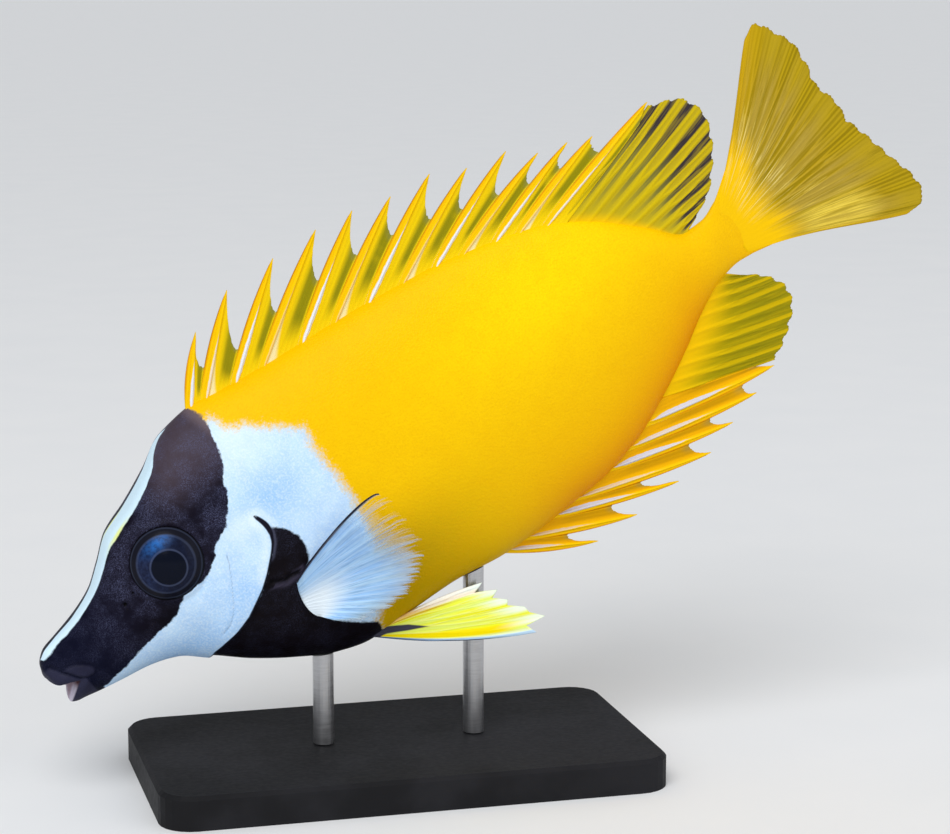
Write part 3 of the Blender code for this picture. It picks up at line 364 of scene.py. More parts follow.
def inside_distance(s, h, outline):
    """Signed distance to a closed outline, positive inside."""
    closed = tuple(outline) + (outline[0],)
    inside = np.zeros(np.shape(s), bool)
    for (a0, a1), (b0, b1) in zip(closed, closed[1:]):
        crosses = (a1 > h) != (b1 > h)
        with np.errstate(divide="ignore", invalid="ignore"):
            at = (b0 - a0) * (h - a1) / (b1 - a1) + a0
        inside ^= crosses & (s < at)
    return np.where(inside, 1.0, -1.0) * line_distance(s, h, closed)


def along(points, share):
    """Points at shares of the length of a broken line."""
    pts = np.array(points, float)
    run = np.concatenate([[0.0], np.cumsum(np.linalg.norm(np.diff(pts, axis=0), axis=1))])
    x = np.asarray(share) * run[-1]
    return np.stack([np.interp(x, run, pts[:, k]) for k in range(pts.shape[1])], axis=-1)


def quads(columns, rows, closed=False):
    """Faces of a grid, whose last row may join its first one."""
    i = np.arange(columns - 1)[:, None]
    j = np.arange(rows if closed else rows - 1)[None, :]
    a = i * rows + j
    d = i * rows + (j + 1) % rows
    return np.stack([a, a + rows, d + rows, d], axis=-1).reshape(-1, 4)


def tube_faces(columns, ring):
    """Faces of a grid of rings, and of the two points after it that close its ends."""
    faces = quads(columns, ring, closed=True).tolist()
    first = columns * ring
    last = first - ring
    for j in range(ring):
        k = (j + 1) % ring
        faces.append([first, j, k])
        faces.append([first + 1, last + k, last + j])
    return faces


def mesh_object(name, places, faces, attributes, material):
    """Object from fish-frame places, with named attributes on its points."""
    mesh = bpy.data.meshes.new(name)
    mesh.from_pydata(posed(places).tolist(), [], faces)
    for key, values in attributes.items():
        values = np.asarray(values, np.float32)
        kind = "FLOAT_VECTOR" if values.ndim == 2 else "FLOAT"
        attribute = mesh.attributes.new(key, kind, "POINT")
        attribute.data.foreach_set("vector" if values.ndim == 2 else "value", values.ravel())
    mesh.polygons.foreach_set("use_smooth", [True] * len(mesh.polygons))
    mesh.materials.append(material)
    made = bpy.data.objects.new(name, mesh)
    bpy.context.scene.collection.objects.link(made)
    return made


# Node graph helpers
def colour(r, g, b):
    """Linear colour from screen values of 0 to 255."""
    out = []
    for value in (r, g, b):
        v = value / 255.0
        out.append(v / 12.92 if v <= 0.04045 else ((v + 0.055) / 1.055) ** 2.4)
    return (*out, 1.0)


SHINE = 0.05


class Paint:
    """A Principled material and short calls that add its nodes."""

    def __init__(self, name, roughness=0.4, **sockets):
        self.material = bpy.data.materials.new(name)
        self.material.use_nodes = True
        self.tree = self.material.node_tree
        self.shader = self.tree.nodes["Principled BSDF"]
        self.shader.inputs["Roughness"].default_value = roughness
        self.shader.inputs["Specular IOR Level"].default_value = SHINE
        for key, value in sockets.items():
            self.shader.inputs[key.replace("_", " ")].default_value = value

    def put(self, node, key, value):
        socket = node.inputs[key]
        if isinstance(value, bpy.types.NodeSocket):
            self.tree.links.new(value, socket)
        else:
            socket.default_value = value

    def add(self, kind, inputs=(), **settings):
        node = self.tree.nodes.new(kind)
        for key, value in settings.items():
            setattr(node, key, value)
        for key, value in inputs:
            self.put(node, key, value)
        return node

    def attribute(self, name, output="Fac"):
        return self.add("ShaderNodeAttribute", attribute_name=name).outputs[output]

    def values(self, *names):
        return [self.attribute(name) for name in names]

    def vectors(self, *names):
        return [self.attribute(name, "Vector") for name in names]

    def math(self, operation, a, b=0.0, c=0.0):
        node = self.add("ShaderNodeMath", ((0, a), (1, b)), operation=operation)
        if operation == "MULTIPLY_ADD":
            self.put(node, 2, c)
        return node.outputs[0]

    def times(self, a, b):
        return self.math("MULTIPLY", a, b)

    def plus(self, a, b):
        return self.math("ADD", a, b)

    def minus(self, a, b):
        return self.math("SUBTRACT", a, b)

    def rest(self, value):
        return self.math("SUBTRACT", 1.0, value)

    def scaled(self, value, factor, offset):
        return self.math("MULTIPLY_ADD", value, factor, offset)

    def fade(self, value, low, high):
        """0 below low, 1 above high and smooth between them."""
        node = self.add("ShaderNodeMapRange", (("Value", value), ("From Min", low),
                                               ("From Max", high)),
                        interpolation_type="SMOOTHSTEP")
        return node.outputs["Result"]

    def fall(self, value, low, high):
        """1 below low, 0 above high and smooth between them."""
        return self.rest(self.fade(value, low, high))

    def noise(self, vector, scale, detail=3.0, rough=0.5):
        node = self.add("ShaderNodeTexNoise", (("Vector", vector), ("Scale", scale),
                                               ("Detail", detail), ("Roughness", rough)))
        return node.outputs["Fac"]

    def cells(self, vector, scale):
        node = self.add("ShaderNodeTexVoronoi", (("Vector", vector), ("Scale", scale)))
        return node.outputs["Distance"]

    def over(self, under, mask, tone, share=1.0):
        """Colour under with the tone laid over it where the mask is, at a share of its strength."""
        if share != 1.0:
            mask = self.times(mask, share)
        node = self.add("ShaderNodeMix", ((0, mask), (6, under), (7, tone)), data_type="RGBA")
        return node.outputs[2]

    def levels(self, index, values):
        """Value of a table at a whole-number index."""
        total = None
        for place, level in enumerate(values):
            here = self.add("ShaderNodeMath", ((0, index), (1, float(place)), (2, 0.4)),
                            operation="COMPARE").outputs[0]
            total = (self.times(here, level) if total is None
                     else self.scaled(here, level, total))
        return total

    def ragged(self, distance, vector, scale, reach, soft):
        """Mask from a signed distance whose edge wanders by reach and blurs over soft."""
        wobble = self.scaled(self.noise(vector, scale, 4.0, 0.62), reach, -reach / 2)
        return self.fade(self.plus(distance, wobble), -soft, soft)

    def bump(self, height, strength, distance):
        node = self.add("ShaderNodeBump", (("Height", height), ("Strength", strength),
                                           ("Distance", distance)))
        self.tree.links.new(node.outputs["Normal"], self.shader.inputs["Normal"])

    def base(self, value):
        self.put(self.shader, "Base Color", value)


# Skin of head, trunk and tail stalk
CAP_RINGS = 14
RING_HALF = 104
RING_EVEN = 0.45
HEAD_COLUMNS = 168
HEAD_CROWDING = 0.30
TRUNK_COLUMNS = 232
TRUNK_CROWDING = 0.45
TRUNK_STEP = 0.10
GILL_SEARCH = (24.0, 60.0, 1441)
SKIN_END_S = 175.0
SKIN_TIP = 0.15
TAPER_S = (160.0, 169.0)
TAIL_FOOT_S = 168.0
TAIL_FOOT_HALF = 1.04
TAIL_FOOT_FADE = 2.9
TAIL_EDGE_HALF = 0.16
TAIL_EDGE_THINNING = 0.036
STALK_MIDDLE_H = -4.4
STALK_FLARE = (0.60, 0.32)
MOUTH_SINK = 0.78
MOUTH_SLOPE = 0.4
LIP_FADE = 3.0
GILL_LOW = GILL_LINE[4:]
GILL_LIFT_FADE = 6.0
GILL_LIFT_SIDE_Y = 2.0
# Creases of the head: line, width and depth
HEAD_CREASES = (
    (PREOPERCLE, 0.3, 0.14), (LIP_FOLD + LIP_FOLD[:1], 0.32, 0.16), (LIP_CREASE, 0.32, 0.24),
)
LIP_DIMPLE = (0.4, 0.3)
LIP_FOLD_RISE = 0.22
LIP_FOLD_SLOPE = 0.9
CHEEK_RISE = 0.10
CHEEK_REACH = 3.0
CHEEK_START_S = 34.0
# Folds of the breast: distance from its line, width and rise
BREAST_RELIEF = ((0.9, 0.7, 0.35), (0.0, 0.4, -0.45))
NOSTRIL_RIM = (1.5, 0.35, 0.22)
NOSTRIL_HOLE = (0.8, 0.75)
# Socket of the eye: radius of its edge, width of its slope and depth
EYE_SOCKET = (6.55, 0.75, 3.4)
# Folds round the eye: radius, width and rise
EYE_FOLDS = ((7.75, 0.5, 0.42), (8.9, 0.45, -0.14))


def ring_angle():
    """Angles round a ring, 0 on the back and pi on the belly, and the side each is on."""
    turn = np.arange(2 * RING_HALF) * math.pi / RING_HALF
    fold = np.where(turn <= math.pi, turn, 2 * math.pi - turn)
    even = fold + RING_EVEN / 2 * np.sin(2 * fold)
    side = np.where(turn <= math.pi, 1.0, -1.0)
    side[0] = side[RING_HALF] = 0.0
    return even, side


def gill_station(t):
    """Station where the gill cover's line crosses each line of constant t."""
    line = sorted((h, s) for s, h in GILL_LINE)
    heights = [p[0] for p in line]
    stations = [p[1] for p in line]
    s = np.linspace(*GILL_SEARCH)[:, None]
    shape = (len(s), len(t))
    _, h = section(np.broadcast_to(s, shape), np.broadcast_to(t, shape))
    beyond = s - table(np.clip(h, heights[0], heights[-1]), heights, stations)
    index = np.argmax(beyond > 0, axis=0)
    a = beyond[index - 1, np.arange(len(t))]
    b = beyond[index, np.arange(len(t))]
    return s[index - 1, 0] + (s[1, 0] - s[0, 0]) * a / (a - b)


def eye_frame(side):
    """Middle of the eye's opening and the ways out of the head, back and up from there."""
    yaw = math.radians(EYE_YAW_DEG)
    roll = math.radians(EYE_ROLL_DEG)
    out = np.array([-math.sin(yaw), side * math.cos(yaw) * math.cos(roll),
                    math.cos(yaw) * math.sin(roll)])
    back = np.array([1.0, 0.0, 0.0])
    back = unit(back - out * back.dot(out))
    up = np.cross(out, back) * -side
    middle = np.array([EYE_S, side * float(flank_y(EYE_S, EYE_H)), EYE_H])
    return middle, out, back, up


def crowded(count, share):
    """Numbers from 0 to 1 that are closer together at the start."""
    even = np.linspace(0.0, 1.0, count)
    return share * even ** 2 + (1.0 - share) * even


def skin_grid():
    """Places s, y and h of the plain skin: columns from snout to tail, then the ring."""
    t, side = ring_angle()
    gill = gill_station(t)
    start = BODY[0][0]
    head_s = start + (gill - start)[None, :] * crowded(HEAD_COLUMNS, HEAD_CROWDING)[:, None]
    first = gill[None, :] + TRUNK_STEP
    trunk_s = first + (SKIN_END_S - first) * crowded(TRUNK_COLUMNS, TRUNK_CROWDING)[:, None]
    s = np.concatenate([head_s, trunk_s])
    t = np.broadcast_to(t, s.shape)
    y, h = section(np.minimum(s, BODY[-1][0]), t)
    taper = step(s, *TAPER_S)
    past = np.clip(s - TAIL_FOOT_S, 0.0, None)
    flat = (TAIL_FOOT_HALF * np.exp(-past / TAIL_FOOT_FADE) + TAIL_EDGE_HALF
            - TAIL_EDGE_THINNING * past)
    y = y * (1 - taper) + taper * flat * np.sqrt(np.sin(np.clip(t, 0.0, math.pi)))
    reach = np.clip(s - BODY[-1][0], 0.0, None)
    h = h + reach * np.where(h > STALK_MIDDLE_H, STALK_FLARE[0], STALK_FLARE[1]) * np.cos(t)
    return s, y * side[None, :], h


def skin_normals(p):
    """Ways out of the skin at the points of its grid."""
    along_s = np.gradient(p, axis=0)
    ring = np.concatenate([p[:, -1:], p, p[:, :1]], axis=1)
    n = np.cross((ring[:, 2:] - ring[:, :-2]) / 2, along_s)
    n /= np.linalg.norm(n, axis=-1, keepdims=True) + 1e-12
    above = p[..., 2] - p[..., 2].mean(axis=1, keepdims=True)
    outward = (p[..., 1] * n[..., 1] + above * n[..., 2]).mean()
    return -n if outward < 0 else n


def head_relief(s, y, h):
    """Height of the gill cover, the creases and the nostrils above the plain skin."""
    near = 1.0 - smoothstep(line_distance(s, h, GILL_LOW) / GILL_LIFT_REACH)
    near = near * step(h, GILL_LIFT_TOP_H, GILL_LIFT_TOP_H - GILL_LIFT_FADE)
    lift = GILL_LIFT * near * smoothstep(np.abs(y) / GILL_LIFT_SIDE_Y)
    for line, width, depth in HEAD_CREASES:
        lift -= depth * bell(line_distance(s, h, line), 0.0, width)
    lift += LIP_FOLD_RISE * smoothstep(inside_distance(s, h, LIP_FOLD) / LIP_FOLD_SLOPE)
    width, depth = LIP_DIMPLE
    lift -= depth * bell(np.hypot(s - LIP_CREASE[0][0], h - LIP_CREASE[0][1]), 0.0, width)
    cheek = smoothstep(1 - line_distance(s, h, PREOPERCLE) / CHEEK_REACH)
    lift += CHEEK_RISE * cheek * (s > CHEEK_START_S)
    for nostril_s, nostril_h, radius in NOSTRILS:
        away = np.hypot(s - nostril_s, h - nostril_h)
        place, width, rise = NOSTRIL_RIM
        lift += rise * bell(away, radius * place, width)
        width, depth = NOSTRIL_HOLE
        lift -= depth * bell(away, 0.0, radius * width)
    return lift


def trunk_relief(s, h):
    fold = line_distance(s, h, BREAST_FOLD)
    return sum(rise * bell(fold, place, width) for place, width, rise in BREAST_RELIEF)


def sink_eyes(place, side_of):
    """The head's grid with a socket and folds of skin for each eye."""
    edge, slope, depth = EYE_SOCKET
    for side in (-1.0, 1.0):
        middle, out, back, up = eye_frame(side)
        q = place - middle
        flat = np.hypot(q @ back, q @ up)
        move = -depth * step(flat, edge + slope, edge)
        for radius, width, rise in EYE_FOLDS:
            move += rise * bell(flat, radius, width)
        place = place + out * np.where(side_of == side, move, 0.0)[..., None]
    return place


def lip_lift(s, y, h):
    """How far the lips stand out to the sides."""
    near = np.minimum(line_distance(s, h, MOUTH_UPPER), line_distance(s, h, MOUTH_LOWER))
    fade = step(s, LIP_REACH_S, LIP_REACH_S - LIP_FADE) * smoothstep(np.abs(y))
    return LIP_HEIGHT * fade * bell(near, LIP_WIDTH, LIP_WIDTH)


def open_mouth(places):
    """Cut the front back to the mouth's profile and sink the hollow inside the lips."""
    s, y, h = places[:, 0], places[:, 1], places[:, 2]
    stations, heights = zip(*MOUTH_FRONT)
    front = table(h, heights, stations)
    at_mouth = (h > heights[0]) & (h < heights[-1])
    places[:, 0] = np.maximum(s, np.where(at_mouth, front, stations[0]))
    inside = inside_distance(places[:, 0], h, MOUTH_HOLLOW)
    places[:, 1] = y * (1.0 - MOUTH_SINK * smoothstep(inside / MOUTH_SLOPE))


def make_skin():
    """Places and faces of the whole skin."""
    s, y, h = skin_grid()
    base = np.stack([s, y, h], axis=-1)
    cut = HEAD_COLUMNS
    lift = np.concatenate([head_relief(s[:cut], y[:cut], h[:cut]), trunk_relief(s[cut:], h[cut:])])
    place = base + skin_normals(base) * lift[..., None]
    place[:cut] = sink_eyes(place[:cut], np.sign(y[:cut]))
    place[..., 1] += np.sign(y) * lip_lift(s, y, h)
    pole = np.array([[SNOUT_POLE[0], 0.0, SNOUT_POLE[1]]])
    share = np.linspace(0.0, 1.0, CAP_RINGS + 2)[1:-1, None]
    cap = pole + (place[:1] - pole) * share[..., None]
    cap[..., 0] = pole[0, 0] + (place[:1, :, 0] - pole[0, 0]) * share ** 2
    place = np.concatenate([cap, place])
    end = np.array([[SKIN_END_S + SKIN_TIP, 0.0, float(h[-1].mean())]])
    places = np.concatenate([place.reshape(-1, 3), pole, end])
    open_mouth(places)
    return places, tube_faces(*place.shape[:2])


# Soft spots of the skin: strength, middle in s and h, reach in s and h
LEMON_SPOTS = ((1.0, 128.0, 14.0, 30.0, 14.0),)
# Painted sheen and shade: darker blue spots on the white skin of the cheek and behind the gill
# cover's top
SHEEN_SPOTS = (
    (1.0, 56.0, 17.5, 9.0, 5.0), (1.0, 24.0, 1.5, 14.0, 5.0), (0.7, 41.0, 6.0, 5.0, 4.0),
)
# Painted highlights on the white skin: the gill cover's top and the shoulder
SHINE_SPOTS = ((0.55, 48.5, 16.5, 4.0, 3.0), (0.5, 58.0, 31.0, 9.0, 6.0))


def skin_marks(p):
    """Masks and distances to the markings' edges, which the skin's paint reads."""
    s, y, h = p[:, 0], p[:, 1], p[:, 2]
    top, bottom, _ = profile(s)
    breast = inside_distance(s, h, BREAST)
    fold = line_distance(s, h, BREAST_FOLD)
    blaze = np.minimum(y - table(s, BLAZE_S, BLAZE_NEAR), table(s, BLAZE_S, BLAZE_FAR) - y)
    gill_bend = line_distance(s, h, GILL_LINE[5:11])
    gill_edge = line_distance(s, h, GILL_LINE[6:10])
    gill_wide = 0.30 * bell(h, 13.5, 2.6) * step(s, 50.0, 51.0)
    low = np.exp(-np.clip(h - bottom, 0, 60) / 8.0)
    return {
        "fish": p,
        "band": inside_distance(s, h, BAND),
        "white": inside_distance(s, h, WHITE),
        "breast": breast,
        "blaze": np.where(h < (top + bottom) / 2, -20.0, blaze),
        "lime": bell(s, 28.3, 3.0),
        "fold": fold,
        # painted highlight on the ridge below the breast fold
        "under": bell(fold, 1.1, 0.5) * (h < 2.6),
        # painted sheen and shade, darker blue on the cheek and behind the gill cover's top
        "sheen": spots(s, h, SHEEN_SPOTS),
        # painted highlight: gill cover's top, shoulder and a bright rim along the bend of the gill
        # cover's edge
        "shine": spots(s, h, SHINE_SPOTS) + 0.4 * bell(gill_bend, 1.3, 0.9),
        # distance to the gill cover's edge, widened at the top hook, for a painted shade line
        "gill": line_distance(s, h, GILL_HOOK + GILL_LINE[6:]) - gill_wide,
        "crease": line_distance(s, h, PREOPERCLE),
        # painted shade: orange and darker low on the flank, towards the anal fin's base
        "warm": low * step(s, 84.0, 110.0) * (1 - 0.75 * step(s, 148.0, 162.0)),
        "lemon": spots(s, h, LEMON_SPOTS),
        # painted shade: darker olive on the belly below the pectoral fin
        "olive": bell(s, 69.0, 19.0) * step(h, 5.0, -13.0),
        "mouth": inside_distance(s, h, MOUTH_HOLLOW),
        "nape": (s - 55.4 + (h - 38.5) * 0.3) / 1.6,
        "snout": step(s, 26.0, 6.0),
        "brow": step(h, 24.0, 34.0) * step(s, 34.0, 44.0),
        "low_face": step(h, 16.0, 10.0) * step(s, 13.0, 25.0),
        # painted highlight on a strip of the breast beside the gill cover's edge
        "gill_edge_highlight": bell(gill_edge, 0.55, 0.3) * step(h, 5.5, 8.5) * (breast > 0),
        "upper_lip": step(inside_distance(s, h, UPPER_SNOUT), 0.0, -0.5) * (s < 5.0)
        + 0.7 * step(inside_distance(s, h, LIP_FOLD), 0.0, 0.7),
        "lip": step(s, 0.9, 3.3) * step(h, 8.8, 10.4),
        "nostril": np.min([np.hypot(s - s0, h - h0) / radius for s0, h0, radius in NOSTRILS],
                          axis=0),
    }


YELLOW = colour(243, 193, 1)
LEMON = colour(254, 215, 2)
ORANGE_SHADE = colour(228, 138, 0)
OLIVE_SHADE = colour(176, 144, 2)
WHITE_SKIN = colour(198, 227, 252)
SHEEN_BLUE = colour(158, 200, 244)
HIGHLIGHT_WHITE = colour(232, 247, 255)
BLACK_SKIN = colour(16, 13, 26)
SPECKLE = colour(92, 98, 132)


def skin_paint():
    paint = Paint("skin_paint", 0.42)
    fish = paint.attribute("fish", "Vector")
    names = ("band", "white", "breast", "blaze", "gill", "crease", "warm", "lemon", "olive",
             "mouth", "lip", "nostril", "lime", "fold", "sheen", "shine", "under", "upper_lip",
             "nape", "gill_edge_highlight", "snout", "low_face", "brow")
    value = {key: paint.attribute(key) for key in names}
    patchy = paint.noise(fish, 0.22, 3.0, 0.6)
    fine = paint.noise(fish, 2.4, 3.0, 0.6)
    grain = paint.cells(fish, 2.1)
    base = paint.over(YELLOW, value["lemon"], LEMON)
    # painted shade, orange low on the flank near the anal fin's base
    base = paint.over(base, paint.math("MINIMUM", value["warm"], 0.9), ORANGE_SHADE)
    # painted shade, darker olive on the belly below the pectoral fin
    base = paint.over(base, value["olive"], OLIVE_SHADE, 0.85)
    base = paint.over(base, paint.fade(fine, 0.42, 0.72), colour(222, 158, 0), 0.22)
    base = paint.over(base, paint.fade(patchy, 0.4, 0.66), colour(228, 166, 0), 0.1)
    white = paint.over(WHITE_SKIN, paint.fade(patchy, 0.32, 0.66), colour(184, 216, 248))
    # painted bluish sheen and shade on the white skin
    white = paint.over(white, value["sheen"], SHEEN_BLUE)
    # painted highlight on the white skin
    white = paint.over(white, paint.math("MINIMUM", value["shine"], 1.0), HIGHLIGHT_WHITE)
    white = paint.over(white, paint.fade(fine, 0.4, 0.7), colour(234, 245, 255), 0.4)
    speckle = paint.noise(fish, 1.9, 5.0, 0.75)
    edge = paint.scaled(speckle, 5.2, -2.6)
    edge = paint.plus(edge, paint.scaled(patchy, 4.0, -2.0))
    edge = paint.fade(paint.plus(value["white"], edge), -1.3, 1.5)
    base = paint.over(base, edge, white)
    dust = paint.noise(fish, 6.2, 2.0, 0.6)
    dots = paint.times(paint.fade(dust, 0.46, 0.66), paint.fade(patchy, 0.34, 0.64))
    dark = paint.over(BLACK_SKIN, paint.fade(patchy, 0.3, 0.7), colour(27, 24, 39))
    dots = paint.times(dots, paint.scaled(value["low_face"], -0.6, 1.0))
    dark = paint.over(dark, value["brow"], colour(84, 72, 82), 0.6)
    dark = paint.over(dark, dots, SPECKLE, 0.6)
    dark = paint.over(dark, value["snout"], colour(5, 9, 32), 0.75)
    dark = paint.over(dark, value["low_face"], colour(5, 3, 8), 0.75)
    deep = paint.over(colour(13, 9, 14), dots, SPECKLE, 0.38)
    # painted highlight, a lighter grey ridge below the breast fold
    deep = paint.over(deep, value["under"], colour(62, 58, 76), 0.8)
    # painted highlight on a strip of the breast beside the gill cover's edge
    deep = paint.over(deep, value["gill_edge_highlight"], colour(112, 116, 146), 0.35)
    base = paint.over(base, paint.ragged(value["breast"], fish, 0.9, 1.1, 0.3), deep)
    # painted shade, a dark line in the breast fold's crease
    base = paint.over(base, paint.fall(value["fold"], 0.1, 0.5), colour(6, 5, 9))
    # painted shade, a bluish line in the preopercle's crease
    crease = paint.fall(value["crease"], 0.05, 0.26)
    base = paint.over(base, crease, colour(74, 100, 140), 0.36)
    band = paint.ragged(value["band"], fish, 0.8, 1.3, 0.2)
    nape = paint.minus(value["nape"], paint.scaled(fine, 1.0, -0.5))
    band = paint.times(band, paint.fall(nape, 0.0, 1.0))
    dark = paint.over(dark, paint.fade(value["nape"], -1.6, 0.3), colour(104, 90, 96))
    base = paint.over(base, band, dark)
    base = paint.over(base, value["upper_lip"], colour(58, 58, 80), 0.5)
    blaze = paint.ragged(value["blaze"], fish, 0.6, 0.5, 0.16)
    lime = paint.times(value["lime"], paint.fall(value["blaze"], 0.3, 1.1))
    stripe = paint.over(colour(212, 238, 252), lime, colour(228, 236, 150))
    base = paint.over(base, blaze, stripe)
    # painted shade, a dark line under the gill cover's edge, thicker at its top hook
    base = paint.over(base, paint.fall(value["gill"], 0.12, 0.4), colour(20, 19, 32))
    # painted shade in the nostril pits
    base = paint.over(base, paint.fall(value["nostril"], 0.5, 0.9), colour(10, 8, 12))
    inner = paint.over(colour(196, 190, 206), value["lip"], colour(96, 58, 60))
    middle = paint.fade(value["mouth"], 0.45, 1.1)
    inner = paint.over(inner, middle, colour(122, 92, 98), 0.7)
    base = paint.over(base, paint.fade(value["mouth"], 0.0, 0.22), inner)
    paint.base(base)
    height = paint.scaled(grain, 0.7, paint.times(fine, 0.3))
    paint.bump(height, 0.3, 0.0003)
    return paint.material


def make_fish_skin():
    places, faces = make_skin()
    skin = mesh_object("skin", places, faces, skin_marks(places), skin_paint())
    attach(skin, "root")
    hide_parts("head", "trunk", "tail_stalk")


# Fins
FIN_SINK = 0.9
FIN_ROOT = 0.75
FIN_ROOT_FADE = 14.0
FIN_EDGE_START = 0.9
FIN_EDGE_THINNING = 0.45
SPINY_ROWS = 60
SPINY_MEMBRANE_HALF = 0.25
SPINY_MEMBRANE_THINNING = 0.09
SPINY_FOLD = 0.14
SPINE_STOUT = 0.72
SPINE_STOUT_SPREAD = (0.94, 1.06)
SPINE_TAPER = 0.80
SPINE_HALF_WIDTH = 0.55
SPINE_PHASE = 0.5
CREST_COLUMNS = 9
CREST_BOW = 0.16
CREST_DROP = 0.6
CREST_LEAN = 0.14
CREST_PHASE = 0.4
LEAD_COLUMNS = 4
LEAD_DROP = 1.5
LEAD_AHEAD = 0.32
LEAD_THICK = 0.14
LEAD_SPREAD = 0.55
MEMBRANE_START = 0.75
MEMBRANE_DROP = 1.1
MEMBRANE_BEHIND = 0.32
MEMBRANE_COLUMNS = 16
MEMBRANE_FIRST = 0.06
MEMBRANE_GAP = 0.06
MEMBRANE_RAGGED = 0.10
NOTCH_GAP = 0.03
NOTCH_RISE = 0.3
# Pulls on the curve to a notch: share of the way and back behind the tip, down and back before it
NOTCH_NEAR = (0.62, 1.5)
NOTCH_LOW = (0.7, 1.0)
TAIL_PIECE_COLUMNS = 8
TAIL_PIECE_END = (3.4, 1.4)
# Branching of the soft rays: where it starts and ends along them and how far it spreads
RAY_SPLITS = ((0.26, 0.56, 0.27), (0.58, 0.83, 0.125))
MARGIN_POWER = 1.6
MARGIN_SPREAD = (0.8, 1.2)
MARGIN_SCALLOP = 0.22
MARGIN_RAGGED = 0.12
SOFT_ROWS = 64
SOFT_COLUMNS_PER_RAY = 16
SOFT_HALF = 0.16
SOFT_FOOT_HALF = 0.7
SOFT_FOOT_INSET = 1.0
SOFT_FOOT_POINTS = 14
SOFT_LAP = 1.3
SOFT_SWAY = 0.5
SOFT_RIPPLE = 0.10
PAIRED_ROWS = 60
PAIRED_HALF = 0.13
PAIRED_RIPPLE = 0.05
PAIRED_FOOT_FADE = 12.0
FAN_LENGTH = 0.5


def sheet_faces(columns, rows):
    """Faces of a closed sheet whose left grid comes first and right grid second."""
    left = quads(columns, rows)
    back = columns * rows
    faces = left.tolist() + (left[:, ::-1] + back).tolist()
    edge = [k * rows for k in range(columns)]
    edge += [(columns - 1) * rows + k for k in range(1, rows)]
    edge += [k * rows + rows - 1 for k in range(columns - 2, -1, -1)]
    edge += list(range(rows - 2, 0, -1))
    for k, p in enumerate(edge):
        q = edge[(k + 1) % len(edge)]
        faces.append([p, back + p, back + q, q])
    return faces


def fin_object(name, middle, side, half, attributes, material, node):
    """Closed fin from its middle surface, the side its outer face is on and half thicknesses."""
    across = np.array([0.0, side, 0.0]) * half[..., None]
    places = np.concatenate([(middle - across).reshape(-1, 3), (middle + across).reshape(-1, 3)])
    doubled = {}
    for key, values in attributes.items():
        flat = np.asarray(values).reshape(half.size, -1)
        both = np.concatenate([flat, flat])
        doubled[key] = both[:, 0] if both.shape[1] == 1 else both
    doubled["fish"] = places
    made = mesh_object(name, places, sheet_faces(*half.shape), doubled, material)
    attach(made, "root")
    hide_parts(node)


def fin_foot(s, upper):
    """Point under the skin of the back or the belly, in s and h."""
    sink = FIN_SINK if upper else -FIN_SINK
    return np.array([s, float(body(s, BACK if upper else BELLY)) - sink])


def spine_frame(foot_s, tip, upper):
    """Foot and tip of a spine's front edge, and the ways along it and back across it."""
    foot = fin_foot(foot_s - SPINE_FRONT, upper)
    run = unit(np.array(tip) - foot)
    return foot, np.array(tip), run, unit(np.array([1.0, 0.0]) - run * run[0])


def notch_curve(rear, behind, foot_s, tip, notch, upper):
    """Control points of the membrane's edge up to the next spine, and how high on it they end."""
    foot_n, tip_n, run_n, behind_n = spine_frame(foot_s, tip, upper)
    end_n = tip_n - run_n * LEAD_DROP - behind_n * LEAD_AHEAD
    share = (np.array(notch) - foot_n).dot(run_n) / np.linalg.norm(end_n - foot_n)
    bow_n = SPINE_BOW * 4 * share * (1 - share)
    goal = foot_n + (end_n - foot_n) * share - behind_n * (bow_n + NOTCH_GAP)
    near = rear + (goal - rear) * NOTCH_NEAR[0] - behind * NOTCH_NEAR[1]
    goal = goal + run_n * NOTCH_RISE
    low = goal - run_n * NOTCH_LOW[0] - behind * NOTCH_LOW[1]
    return (rear, near, low, goal), share


def cubic(points, f):
    a, b, c, d = points
    return (a * (1 - f) ** 3 + b * (3 * f * (1 - f) ** 2) + c * (3 * f * f * (1 - f))
            + d * f ** 3)


